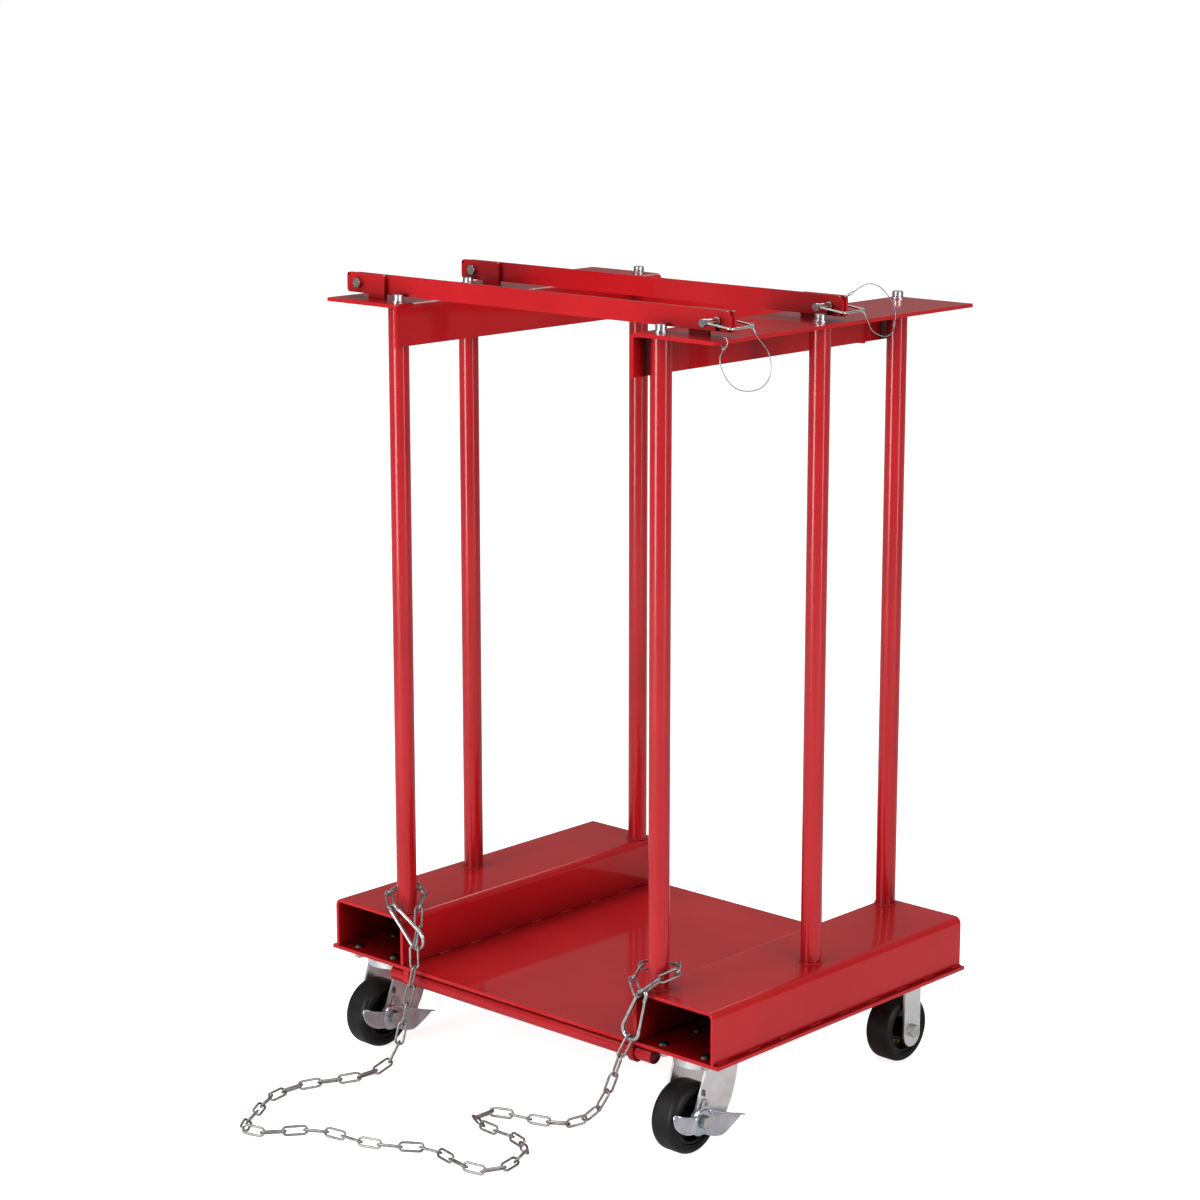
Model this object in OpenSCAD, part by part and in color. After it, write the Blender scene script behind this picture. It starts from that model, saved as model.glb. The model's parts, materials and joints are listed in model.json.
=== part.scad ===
// Gas cylinder cart: a caster deck with posts, top rails, two swing-up bars and a front chain.
// Millimetres, +Z up, +X right seen from the front, the front faces -Y, origin on the floor under the middle.

/* [Deck] */
// Width of the deck plate, left to right
deck_w = 864; // [820:1:900]
// Depth of the deck plate, front to back
deck_d = 636; // [620:1:660]
// Thickness of the deck plate
deck_t = 6; // [5:0.5:8]

/* [Fork pockets] */
// Outside width of a fork pocket channel
pocket_w = 163; // [160:1:170]
// Height of a fork pocket above the deck
pocket_h = 84; // [80:1:100]
// Wall of a fork pocket
pocket_t = 6; // [5:0.5:8]
// Outside bend radius of a fork pocket
pocket_r = 12; // [9:0.5:16]
// Deck lip left outside each pocket
deck_lip = 9.5; // [6:0.5:14]

/* [Posts] */
// Outside diameter of a post tube
post_d = 33.4; // [30:0.2:36]
// Wall of a post tube
post_wall = 3.2; // [2.6:0.2:4]
// Height of the top rails' upper face above the floor
rack_h = 1273; // [1100:1:1400]
// Distance of the front posts from the deck's front edge
front_post_inset = 33; // [30:1:36]
// Distance of the rear posts from the deck's rear edge
rear_post_inset = 24; // [22:1:30]
// Distance of the middle posts from the centre towards the front
middle_post_y = 29; // [26:1:32]
// Distance of the front and rear posts from the pocket's inner face
post_inset_x = 22.5; // [20:0.5:26]
// Distance of the middle posts from the pocket's outer face
middle_post_inset_x = 43; // [38:1:48]

/* [Top rails] */
// Width of a rail's flat top
rail_w = 162.6; // [156:0.2:170]
// Length of a rail, front to back
rail_l = 638; // [620:1:660]
// Thickness of the rail plate
rail_t = 6; // [5:0.5:8]
// Drop of the rail's inner flange below its upper face
rail_drop = 68; // [50:1:90]
// Outside bend radius of a rail
rail_r = 10; // [8:0.5:14]
// Distance of a rail's inner face from the cart's middle plane
rail_in_x = 250.8; // [246:0.2:256]

/* [Retaining bars] */
// Thickness of a bar
bar_t = 6; // [5:0.5:8]
// Height of a bar
bar_h = 32; // [30:1:34]
// Gap between a bar and the rails below it
bar_gap = 7.5; // [7:0.5:10]
// Distance of the bar's pivot from the cart's middle plane
pivot_x = 380; // [370:1:384]
// Distance of the lock pin from the cart's middle plane
pin_x = 382; // [374:1:386]
// Front face of the front bar, from the centre towards the front
front_bar_y = 273; // [270:1:276]
// Front face of the middle bar, from the centre towards the front
middle_bar_y = 10; // [8:0.5:11]
// Bar length beyond its pivot
bar_tail = 22; // [20:0.5:22]
// Bar length beyond the lock pin
bar_nose = 24; // [20:0.5:26]
// Corner radius of a bar's ends
bar_corner_r = 12; // [12:0.5:14]

/* [Lock pins] */
// Diameter of a lock pin
pin_d = 9.5; // [8:0.5:10.5]
// Wire diameter of a pin's bail
bail_wire_d = 3.2; // [2.8:0.2:3.6]
// Reach of a bail sideways from its pin
bail_reach = 52; // [46:1:56]
// Distance from the bail's pivot back to its rear leg
bail_depth = 55; // [54:0.5:57]
// Distance from the bar's face forward to the bail's pivot
bail_pivot_out = 31; // [30:0.5:33]

/* [Casters] */
// Height from the floor to the deck's underside
caster_h = 158; // [154:1:170]
// Wheel diameter
wheel_d = 114.3; // [108:0.5:116]
// Tread width
wheel_w = 50; // [46:1:52]
// Diameter of the wheel core under the rubber
core_d = 82; // [76:1:86]
// Distance of each caster from the cart's middle plane
caster_x = 346; // [340:1:350]
// Kingpin of the front casters, from the centre towards the front
kingpin_y = 255; // [250:1:258]
// Trail of the front wheels in front of their kingpin
caster_trail = 40; // [36:1:42]
// Axle of the rear casters, from the centre towards the rear
rear_axle_y = 246; // [240:1:250]
// Thickness of the fork legs
leg_t = 4; // [3.5:0.5:5]
// Distance between a fork's legs
fork_gap = 60; // [59:0.5:62]

/* [Chain] */
// Wire diameter of a chain link
link_wire_d = 4; // [3.6:0.1:4.2]
// Outside length of a chain link
link_l = 43; // [42:0.5:44]
// Outside width of a chain link
link_w = 17; // [16.5:0.5:18]

/* [Front pipe] */
// Outside diameter of the pipe under the front edge
pipe_d = 26.7; // [21.3:0.2:27]
// Length of the pipe
pipe_l = 584; // [560:1:588]

/* [Hidden] */

// Finishes as they look
red_paint = "#cc1f26";
bright_zinc = "#c9ccd0";
satin_zinc = "#b9bcc0";
black_rubber = "#1c1c1e";
core_black = "#232326";

// Shared clearances
cut_over = 1;          // overrun of every cut
run_gap = 0.3;         // gap between faces that move past each other
fit_gap = 0.08;        // radial running clearance of pins and axles
seat_gap = 0.15;       // radial clearance of fixed bolts in their holes

// Levels and places of the frame
deck_top = caster_h + deck_t;
pocket_top = deck_top + pocket_h;
pocket_out_x = deck_w / 2 - deck_lip;
pocket_mid_x = pocket_out_x - pocket_w / 2;
front_post_x = pocket_out_x - pocket_w + post_inset_x;
middle_post_x = pocket_out_x - middle_post_inset_x;
front_post_y = -deck_d / 2 + front_post_inset;
rear_post_y = deck_d / 2 - rear_post_inset;
rail_under = rack_h - rail_t;
post_l = rail_under - pocket_top;
post_places = [
    [-front_post_x, front_post_y], [front_post_x, front_post_y],
    [-middle_post_x, -middle_post_y], [middle_post_x, -middle_post_y],
    [-front_post_x, rear_post_y], [front_post_x, rear_post_y]
];

// Bolts over the posts
cap_bolt_d = 10;
cap_head_d = 18;
cap_head_h = 10;
cap_washer_d = 24;
cap_washer_t = 2.5;
cap_plug_h = 20;
cap_edge = 1.2;

// Bars, lugs and pivots
bar_z = rack_h + bar_gap + bar_h / 2;
lug_t = 6;
lug_in_x = 320;
lug_foot_w = 38;
lug_out_x = 408;
lug_lift = 7;
lug_r = 6;
pivot_bolt_d = 10;
pivot_head_af = 15;
pivot_head_h = 6.4;
pivot_nut_h = 8;
pivot_end = 3;

// Lock pins and bails
pin_collar_d = 13;
pin_collar_t = 3;
pin_head_d = 12;
pin_head_l = 6;
pin_head_out = 5;
pin_chamfer = 1;
bail_tilt = 6;
bail_bend_r = 6;
bail_wire_gap = 0.6;
bail_stub = 4;
bail_leg_y = bail_depth - bail_pivot_out;
pin_tip = bail_leg_y - bail_wire_d / 2 - bail_wire_gap;
pin_slot_gap = 0.4;

// Wire rope and its eyes
rope_d = 1.6;
eye_wire_d = 1.6;
rail_eye_r = 7;
rail_eye_hole_d = 5;
bail_eye_r = 4;
sleeve_d = 4;
sleeve_l = 9;
rope_sides = 8;

// Route points of the front lanyard, then of the middle one
front_rope_route = [
    [425, -239.5, 1280.5], [425, -232.5, 1271.5], [424, -221, 1262], [424, -209, 1250], [424, -202, 1237],
    [424, -200, 1222], [424, -205, 1208], [424, -218, 1198], [424, -236, 1194], [424, -256, 1195],
    [424, -274, 1199], [424, -291, 1208], [424, -305, 1222], [423, -314, 1238], [421, -313, 1251],
    [420, -305, 1260]
];
middle_rope_route = [
    [425, 23.5, 1280.5], [425, 30.5, 1271], [424, 42, 1257], [424, 60, 1248], [424, 78, 1244],
    [424, 92, 1248], [423, 100, 1260], [423, 102, 1276], [422, 97, 1292], [420, 86, 1306],
    [419, 68, 1320], [418, 48, 1327], [417, 32, 1327], [415, 18, 1322.5], [413.5, 9.5, 1318]
];

// Chain: wire centre line of one link
link_arc_r = (link_w - link_wire_d) / 2;
link_arc_x = (link_l - link_w) / 2;

// Route of the front chain, from the left hook round the left post, over the floor and up to the right hook:
// each link's middle, then its turns about X, Y and Z
chain_route = [
    [-291.1, -315.5, 271.8, 23.3, -30.8, 145.1], [-307.3, -290.4, 281.3, 126.5, -3.7, 105.8],
    [-298.2, -264.3, 283.4, 56.5, 0.4, 35.9], [-270.1, -262, 282.6, 148.9, 0.5, -29.5],
    [-248.2, -283.1, 274, 52.2, 31.1, -62.8], [-234.8, -304.2, 251.6, 149.6, 52.6, -49.8],
    [-222.4, -321.2, 224.1, 57.2, 50.1, -58.7], [-215.5, -333.5, 194.4, -172.7, 78.8, -38.5],
    [-216.7, -336.7, 160.8, -6.3, 77.5, -170.1], [-224, -338.7, 127.6, 91.5, 76.8, -159.8],
    [-230, -342.6, 94.3, 18.4, 78.1, -131.4], [-234, -348.8, 61, 120, 76.7, -114.5],
    [-238.2, -360.7, 29.7, 36.9, 59.4, -107.8], [-240.8, -385.4, 11, 134.8, 14.7, -90.8],
    [-242.1, -419, 6.9, 43.7, -0.5, -93.8], [-249.7, -451.8, 7.1, 128.5, 0, -112.4],
    [-264.2, -482.6, 7, 35.6, -0, -118.1], [-277.9, -513.7, 7.1, 129.1, 0, -109.5],
    [-284.9, -546.8, 7, 43.6, -0, -94.1], [-283.2, -580.6, 7, 138.3, -0, -80.4],
    [-273, -612.7, 7.2, 52.2, 0, -64.1], [-256.6, -642.6, 7, 145.4, -0, -58.4],
    [-239.7, -672.2, 7.2, 52.6, 0, -62.2], [-221.1, -701, 7.2, 146.6, -1.7, -52.2],
    [-194.5, -708.9, 7.5, 57.4, -0, 15], [-167.7, -691.2, 7.1, 146.7, 0.6, 52.2],
    [-146.5, -664.3, 7.3, 54.5, -0, 51.5], [-121.2, -642.3, 7, 151.8, -0, 30.6],
    [-89.8, -630.7, 7.6, 59.4, -0, 9.7], [-55.9, -626.5, 7, 154.2, -0, 4.5],
    [-22.9, -619.3, 7.6, 58.7, -0, 20.1], [7.9, -605.1, 7, 152, -0, 29.4],
    [36.6, -586.8, 7.5, 57, -0, 35.7], [67.4, -574.4, 7, 154.1, -0, 8.3],
    [101, -575, 7.6, 59.3, -0, -10.6], [134.6, -581.1, 7, 153.9, -0.2, -9.8],
    [168.1, -580.5, 7.6, 58.4, 0, 12.1], [191.8, -562.1, 7.2, 143, 0.7, 65.8],
    [195.9, -529.8, 6.9, 41.7, -0.5, 99.8], [186.7, -497.1, 7.1, 128.7, 0, 111.6],
    [167.6, -470, 7, 30.2, -0, 138.8], [138.2, -454.5, 7.6, 120.9, -0, 165.4],
    [104.7, -450.4, 7, 25.7, -0, -179.2], [70.5, -449.6, 7.6, 120.5, 0, 176.3],
    [38.6, -440.5, 7.3, 29.1, -1.1, 151.3], [25.3, -415.4, 6.7, 136.5, -0.8, 85.9],
    [42.6, -392.3, 7.6, 59, 0, 22.6], [75.2, -382.6, 7, 153.9, 0.1, 11.3],
    [108.1, -374, 7.6, 58.8, 0, 17.9], [140.5, -363.7, 8.9, 146.9, -6.3, 17.4],
    [171.9, -355.1, 17.7, 52, -23.9, 13.1], [198.9, -348.9, 36.5, 139.7, -44.4, 12.5],
    [218.9, -344.1, 63.3, 50, -60.8, 15.3], [233.1, -341.3, 94.1, 144, -68.5, 5.7],
    [245.1, -339.7, 126.3, 47.1, -70, 10.9], [255.5, -332.9, 158.3, 107, -63.2, 52.1]
];

// Loop of chain from the right hook round the right post and back
post_loop_route = [
    [297.7, -320.7, 263.5, 137.3, -34.9, 50.6], [311.1, -293.6, 276.5, -136.7, -11.3, 74],
    [304.8, -264.8, 280, 119.3, 0.9, 130.3], [277.2, -252.8, 278.5, -152.1, 2.4, -174.6],
    [252.3, -269.5, 276.3, 130.2, 7.5, -119.2], [249.9, -299.8, 269.5, -119.9, 15.1, -71.2],
    [267.3, -323.1, 255.9, 167.4, 33.2, -30.1]
];
smooth_steps = 3;

// Snap hooks: pear-shaped loops of round wire
hook_wire_d = 6.5;
hook_wide_r = 16.5;
hook_small_r = 8;
hook_reach = 66;
gate_wire_d = 5.4;
gate_start_share = 0.12;
gate_end_share = 0.85;
gate_pin_d = 2.4;
gate_pin_l = 4.2;
hook_leg_step = 0.15;
hook_leg_run = 0.5;
hook_lap_gap = 0.2;
gate_heel = 1.3;
left_hook_wide = [-222, -322, 221];
left_hook_turn = 143;
right_hook_wide = [263, -328, 187];
right_hook_turn = 69;

// Swivel stack of the front casters
plate_t = 5;
plate_w = 108;
plate_l = 104;
plate_r = 8;
bolt_pitch_x = 86;
bolt_pitch_y = 82;
caster_bolt_d = 9.5;
caster_head_d = 20;
caster_head_h = 6;
caster_nut_af = 14;
caster_nut_h = 8;
race_d = 76;
race_t = 5;
ball_d = 6;
ball_ring_d = 62;
balls_n = 20;
crown_t = 4;
crown_d = 90;
crown_lip = 7;
crown_wall = 2.5;
king_d = 16;
king_head_d = 30;
king_head_t = 3;
lock_ring_d = 54;
lock_ring_t = 3;
lock_teeth = 24;
lock_tooth_w = 3.2;
lock_tooth_l = 5;
race_under = caster_h - plate_t - race_t;
crown_top = race_under - ball_d - 2 * run_gap;
crown_under = crown_top - crown_t;

// Forks, wheels and axles
axle_z = wheel_d / 2;
axle_d = 12.5;
bush_d = 16;
hub_d = 34;
hub_gap = 1.5;
core_w = 40;
core_web_t = 12;
core_rim_t = 5;
tyre_lip = 5;
tyre_step = 2;
tyre_gap = 0.15;
axle_head_af = 19;
axle_head_t = 8;
axle_nut_t = 10;
axle_end = 2;
rear_leg_w = 43;
rear_leg_r = 21.5;
rear_leg_drop = 6.6;
front_leg_r = 24;

// Front leg outline as shares: across the trail, and of the crown's height above the floor
fork_leg_shares = [
    [0.66, 0.97], [0.7, 1], [1.12, 1], [1.18, 0.97], [1.16, 0.88], [1.1, 0.78], [0.98, 0.66],
    [0.8, 0.53], [0.45, 0.36]
];
fork_front_shares = [[-0.68, 1], [-1, 0.76], [-1.35, 0.52], [-1.58, 0.44]];

// Brake pedal: rocker plate with two folded wings, as shares of its front arm
pedal_arm = 78;
pedal_t = 3;
pedal_disc_d = 46;
pedal_tilt = 16;
pedal_wing_w = 20;
pedal_foot_in = 1.5;
pedal_foot_sink = 0.4;
pedal_front_shares = [
    [-0.12, 0.25], [-0.55, 0.14], [-1, 0.16], [-0.94, -0.02], [-0.78, -0.2], [-0.45, -0.24], [-0.1, -0.27]
];
pedal_rear_shares = [
    [0.1, 0.27], [0.5, 0.2], [1.02, 0.2], [0.86, 0.02], [0.72, -0.26], [0.4, -0.28], [0.1, -0.27]
];
pedal_washer_d = 28;
pedal_washer_t = 2;

// Pipe under the front edge and its hangers
pipe_wall = 3;
pipe_drop = 1.5;
hanger_x = 252;
hanger_t = 12;
hanger_w = 30;
hanger_drop = 33;
pipe_y = -deck_d / 2 + hanger_w / 2;
pipe_z = caster_h - pipe_drop - pipe_d / 2;

// Cross rail behind the rear cylinders
back_rail_face_y = 246;
back_rail_h = 60;
back_rail_t = 6;
back_rail_drop = 4;

// Plate with round corners, thickness upwards from zero
module round_plate(w, l, t, r) {
    linear_extrude(t) union() {
        square([w - 2 * r, l], center = true);
        square([w, l - 2 * r], center = true);
        for (sx = [-1, 1], sy = [-1, 1])
            translate([sx * (w / 2 - r), sy * (l / 2 - r)]) circle(r = r, $fn = 48);
    }
}

// Hexagonal head or nut standing on the XY plane
module hex_body(flats, t) {
    cylinder(d = flats / cos(30), h = t, $fn = 6);
}

// Steel disc with its outer top edge chamfered
module head_disc(d, h, edge) {
    cylinder(d = d, h = h - edge, $fn = 64);
    translate([0, 0, h - edge]) cylinder(d1 = d, d2 = d - 2 * edge, h = edge, $fn = 64);
}

// Inverted U channel seen from the front, standing on the deck
module pocket_outline(w, h, t, r) {
    difference() {
        union() {
            translate([-w / 2, 0]) square([w, h - r]);
            translate([-w / 2 + r, 0]) square([w - 2 * r, h]);
            for (s = [-1, 1]) translate([s * (w / 2 - r), h - r]) circle(r = r, $fn = 64);
        }
        translate([-w / 2 + t, -cut_over]) square([w - 2 * t, h - r + cut_over]);
        translate([-w / 2 + r, -cut_over]) square([w - 2 * r, h - t + cut_over]);
        for (s = [-1, 1]) translate([s * (w / 2 - r), h - r]) circle(r = r - t, $fn = 64);
    }
}

module fork_pocket(side) {
    color(red_paint) translate([side * pocket_mid_x, deck_d / 2, deck_top]) rotate([90, 0, 0])
        linear_extrude(deck_d) pocket_outline(pocket_w, pocket_h, pocket_t, pocket_r);
}

// Places of the caster bolts on the deck
caster_centres = [
    [-caster_x, -kingpin_y], [caster_x, -kingpin_y], [-caster_x, rear_axle_y], [caster_x, rear_axle_y]
];

module at_caster_bolts() {
    for (c = caster_centres, sx = [-1, 1], sy = [-1, 1])
        translate([c[0] + sx * bolt_pitch_x / 2, c[1] + sy * bolt_pitch_y / 2, 0]) children();
}

module deck_plate() {
    color(red_paint) difference() {
        translate([-deck_w / 2, -deck_d / 2, caster_h]) cube([deck_w, deck_d, deck_t]);
        at_caster_bolts() translate([0, 0, caster_h - cut_over])
            cylinder(d = caster_bolt_d + 2 * seat_gap, h = deck_t + 2 * cut_over, $fn = 32);
    }
}

// Post tube with a threaded plug in its top
module post(place) {
    color(red_paint) translate([place[0], place[1], pocket_top]) difference() {
        cylinder(d = post_d, h = post_l, $fn = 96);
        translate([0, 0, -cut_over])
            cylinder(d = post_d - 2 * post_wall, h = post_l - cap_plug_h + cut_over, $fn = 96);
        translate([0, 0, post_l - cap_plug_h - cut_over])
            cylinder(d = cap_bolt_d + 2 * seat_gap, h = cap_plug_h + 2 * cut_over, $fn = 32);
    }
}

// Angle of a top rail: flat top and an inner flange with a bent corner
module rail_outline() {
    difference() {
        union() {
            translate([rail_r, -rail_t]) square([rail_w - rail_r, rail_t]);
            translate([0, -rail_drop]) square([rail_t, rail_drop - rail_r]);
            translate([rail_r, -rail_r]) intersection() {
                circle(r = rail_r, $fn = 64);
                translate([-rail_r, 0]) square([rail_r, rail_r]);
            }
        }
        translate([rail_r, -rail_r]) circle(r = rail_r - rail_t, $fn = 64);
    }
}

module top_rail(side) {
    color(red_paint) difference() {
        mirror([side < 0 ? 1 : 0, 0, 0]) translate([rail_in_x, rail_l / 2, rack_h]) rotate([90, 0, 0])
            linear_extrude(rail_l) rail_outline();
        for (p = post_places) translate([p[0], p[1], rack_h - rail_t - cut_over])
            cylinder(d = cap_bolt_d + 2 * seat_gap, h = rail_t + 2 * cut_over, $fn = 32);
        translate([rail_eye_x, rail_eye_y, rack_h - rail_t - cut_over])
            cylinder(d = rail_eye_hole_d, h = rail_t + 2 * cut_over, $fn = 32);
    }
}

module rail_cap_bolts() {
    color(bright_zinc) for (p = post_places) translate([p[0], p[1], rack_h]) {
        difference() {
            cylinder(d = cap_washer_d, h = cap_washer_t, $fn = 48);
            translate([0, 0, -cut_over])
                cylinder(d = cap_bolt_d + 2 * seat_gap, h = cap_washer_t + 2 * cut_over, $fn = 32);
        }
        translate([0, 0, cap_washer_t]) head_disc(cap_head_d, cap_head_h, cap_edge);
        translate([0, 0, -cap_plug_h]) cylinder(d = cap_bolt_d, h = cap_plug_h + cap_washer_t, $fn = 32);
    }
}

module rear_cross_rail() {
    color(red_paint) translate([-rail_in_x, back_rail_face_y, rack_h - rail_drop - back_rail_drop])
        cube([2 * rail_in_x, back_rail_t, back_rail_h]);
}

module front_pipe() {
    color(red_paint) translate([-pipe_l / 2, pipe_y, pipe_z]) rotate([0, 90, 0]) difference() {
        cylinder(d = pipe_d, h = pipe_l, $fn = 64);
        translate([0, 0, -cut_over]) cylinder(d = pipe_d - 2 * pipe_wall, h = pipe_l + 2 * cut_over, $fn = 64);
    }
}

module pipe_hangers() {
    color(red_paint) for (side = [-1, 1]) translate([side * hanger_x - hanger_t / 2, pipe_y, caster_h])
        rotate([90, 0, 90]) linear_extrude(hanger_t) difference() {
            union() {
                translate([-hanger_w / 2, -hanger_drop + hanger_w / 2])
                    square([hanger_w, hanger_drop - hanger_w / 2]);
                translate([0, -hanger_drop + hanger_w / 2]) circle(d = hanger_w, $fn = 64);
            }
            translate([0, pipe_z - caster_h]) circle(d = pipe_d + 2 * seat_gap, $fn = 64);
        }
}

// Flat bar outline between the pivot and the pin, origin at the pivot
module bar_outline() {
    bar_len = bar_tail + pivot_x + pin_x + bar_nose;
    translate([bar_len / 2 - bar_tail, 0]) union() {
        square([bar_len - 2 * bar_corner_r, bar_h], center = true);
        square([bar_len, bar_h - 2 * bar_corner_r], center = true);
        for (sx = [-1, 1], sy = [-1, 1])
            translate([sx * (bar_len / 2 - bar_corner_r), sy * (bar_h / 2 - bar_corner_r)])
                circle(r = bar_corner_r, $fn = 48);
    }
}

module retaining_bar(face_y) {
    color(red_paint) translate([-pivot_x, -face_y + bar_t, bar_z]) rotate([90, 0, 0])
        linear_extrude(bar_t) difference() {
            bar_outline();
            circle(d = pivot_bolt_d + 2 * fit_gap, $fn = 48);
            translate([pivot_x + pin_x, 0]) circle(d = pin_d + 2 * pin_slot_gap, $fn = 48);
            translate([pivot_x + pin_x - pin_d / 2 - pin_slot_gap, -bar_h / 2 - cut_over])
                square([pin_d + 2 * pin_slot_gap, bar_h / 2 + cut_over]);
        }
}

// Lug on the right rail seen from the front, origin on the rail's top face in the middle plane
module lug_outline(hole_x, hole_d) {
    arm_w = lug_out_x - lug_in_x;
    arm_h = bar_h + bar_gap - lug_lift;
    difference() {
        union() {
            translate([lug_in_x, 0]) square([lug_foot_w, lug_lift + lug_r]);
            translate([lug_in_x + lug_r, lug_lift]) square([arm_w - 2 * lug_r, arm_h]);
            translate([lug_in_x, lug_lift + lug_r]) square([arm_w, arm_h - 2 * lug_r]);
            for (x = [lug_in_x + lug_r, lug_out_x - lug_r], z = [lug_lift + lug_r, lug_lift + arm_h - lug_r])
                translate([x, z]) circle(r = lug_r, $fn = 48);
        }
        translate([hole_x, bar_z - rack_h]) circle(d = hole_d, $fn = 48);
        translate([lug_out_x - lug_r + lug_eye_in * cos(45), lug_lift + arm_h - lug_r + lug_eye_in * cos(45)])
            circle(d = lug_eye_hole_d, $fn = 32);
    }
}

module bar_lugs(face_y) {
    color(red_paint) {
        mirror([1, 0, 0]) translate([0, -face_y - run_gap, rack_h]) rotate([90, 0, 0])
            linear_extrude(lug_t) lug_outline(pivot_x, pivot_bolt_d + 2 * seat_gap);
        translate([0, -face_y + bar_t + run_gap + lug_t, rack_h]) rotate([90, 0, 0])
            linear_extrude(lug_t) lug_outline(pin_x, pin_d + 2 * fit_gap);
    }
}

// Pivot bolt with its nut behind the bar
module pivot_bolt(face_y) {
    shank = lug_t + run_gap + bar_t + run_gap + pivot_nut_h + pivot_end;
    nut_at = lug_t + run_gap + bar_t + run_gap;
    translate([-pivot_x, -face_y - run_gap - lug_t, bar_z]) rotate([-90, 0, 0]) {
        translate([0, 0, -pivot_head_h]) hex_body(pivot_head_af, pivot_head_h);
        cylinder(d = pivot_bolt_d, h = shank, $fn = 48);
        translate([0, 0, nut_at]) difference() {
            hex_body(pivot_head_af, pivot_nut_h);
            translate([0, 0, -cut_over])
                cylinder(d = pivot_bolt_d, h = pivot_nut_h + 2 * cut_over, $fn = 48);
        }
    }
}

module bar_pivot_bolts() {
    color(bright_zinc) for (y = [front_bar_y, middle_bar_y]) pivot_bolt(y);
}

// Frame of a lock pin: its axis runs back along +Y from the bar's front face
module at_pin(face_y) {
    translate([pin_x, -face_y, bar_z]) children();
}

module lock_pin(face_y) {
    front = bail_pivot_out + pin_head_out;
    color(bright_zinc) at_pin(face_y) difference() {
        rotate([-90, 0, 0]) {
            translate([0, 0, -front]) cylinder(d = pin_d, h = front + pin_tip - pin_chamfer, $fn = 64);
            translate([0, 0, pin_tip - pin_chamfer])
                cylinder(d1 = pin_d, d2 = pin_d - 2 * pin_chamfer, h = pin_chamfer, $fn = 64);
            translate([0, 0, -front]) cylinder(d = pin_head_d, h = pin_head_l, $fn = 64);
            translate([0, 0, -run_gap - pin_collar_t])
                cylinder(d = pin_collar_d, h = pin_collar_t, $fn = 64);
        }
        translate([0, -bail_pivot_out, 0]) rotate([0, 90 + bail_tilt, 0])
            cylinder(d = bail_wire_d + 4 * fit_gap, h = 2 * pin_head_d, center = true, $fn = 32);
    }
}

// Bail: a bent wire through the pin's cross hole, round the bar's end and behind the pin's tip
module bail_frame(face_y) {
    at_pin(face_y) translate([0, -bail_pivot_out, 0]) rotate([0, bail_tilt, 0]) children();
}

module pin_bail(face_y) {
    depth = bail_depth;
    r = bail_wire_d / 2;
    color(bright_zinc) bail_frame(face_y) {
        translate([-pin_d / 2 - bail_stub, 0, 0]) rotate([0, 90, 0])
            cylinder(r = r, h = pin_d / 2 + bail_stub + bail_reach - bail_bend_r, $fn = 32);
        translate([bail_reach - bail_bend_r, bail_bend_r, 0]) rotate([0, 0, -90])
            wire_bend(bail_bend_r, r, 90);
        translate([bail_reach, bail_bend_r, 0]) rotate([-90, 0, 0])
            cylinder(r = r, h = depth - 2 * bail_bend_r, $fn = 32);
        translate([bail_reach - bail_bend_r, depth - bail_bend_r, 0]) wire_bend(bail_bend_r, r, 90);
        translate([-pin_d / 2, depth, 0]) rotate([0, 90, 0])
            cylinder(r = r, h = pin_d / 2 + bail_reach - bail_bend_r, $fn = 32);
    }
}

// Round wire bent through an angle in the XY plane, from the +X axis on
module wire_bend(r, wire_r, sweep) {
    rotate_extrude(angle = sweep, $fn = 48) translate([r, 0]) circle(r = wire_r, $fn = 32);
}

module wire_ring(r, wire_r) {
    rotate_extrude($fn = 48) translate([r, 0]) circle(r = wire_r, $fn = 24);
}

// Crimped rope eye: a small ring and its sleeve
module rope_sleeve() {
    cylinder(d = sleeve_d, h = sleeve_l, $fn = 32);
}

// The eye hangs on the bail's rear leg near the outer corner
bail_eye_x = bail_reach - bail_bend_r - eye_wire_d;
bail_eye_drop = bail_eye_r - eye_wire_d / 2 - bail_wire_d / 2 - run_gap;
bail_eye_lean = 40;

module bail_eye(face_y) {
    color(bright_zinc) bail_frame(face_y) translate([bail_eye_x, bail_depth, 0]) rotate([bail_eye_lean, 0, 0])
        translate([0, 0, -bail_eye_drop]) {
            rotate([0, 90, 0]) wire_ring(bail_eye_r, eye_wire_d / 2);
            translate([0, 0, -bail_eye_r - sleeve_l]) rope_sleeve();
        }
}

// Eye through a hole near the right rail's front corner, its sleeve pointing down and forward
rail_eye_x = rail_in_x + rail_w - rail_eye_r;
rail_eye_inset = 23;
rail_eye_y = -rail_l / 2 + rail_eye_inset;
rail_eye_turn = [122, 6, 0];

// Eye through a hole in the upper outer corner of the middle bar's right lug
lug_eye_r = 4.2;
lug_eye_hole_d = 4.2;
lug_eye_edge = 3.1;
lug_eye_swing = 0.6;
lug_eye_in = lug_r - lug_eye_edge;
lug_eye_out = lug_r + lug_eye_swing;

module lanyard_anchor_eyes() {
    color(bright_zinc) {
        translate([rail_in_x + rail_w, rail_eye_y, rack_h - rail_t / 2]) {
            rotate([90, 0, 0]) wire_ring(rail_eye_r, eye_wire_d / 2);
            rotate([0, 45, 0]) translate([rail_eye_r, 0, 0]) rotate([0, -45, 0]) rotate(rail_eye_turn)
                rope_sleeve();
        }
        translate([lug_out_x - lug_r + lug_eye_out * cos(45), -middle_bar_y + bar_t + run_gap + lug_t / 2,
                   bar_z + bar_h / 2 - lug_r + lug_eye_out * cos(45)]) rotate([0, -45, 0]) {
            wire_ring(lug_eye_r, eye_wire_d / 2);
            rotate([0, 0, 45]) translate([lug_eye_r, 0, 0]) rotate([0, 90, 0]) rope_sleeve();
        }
    }
}

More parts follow.
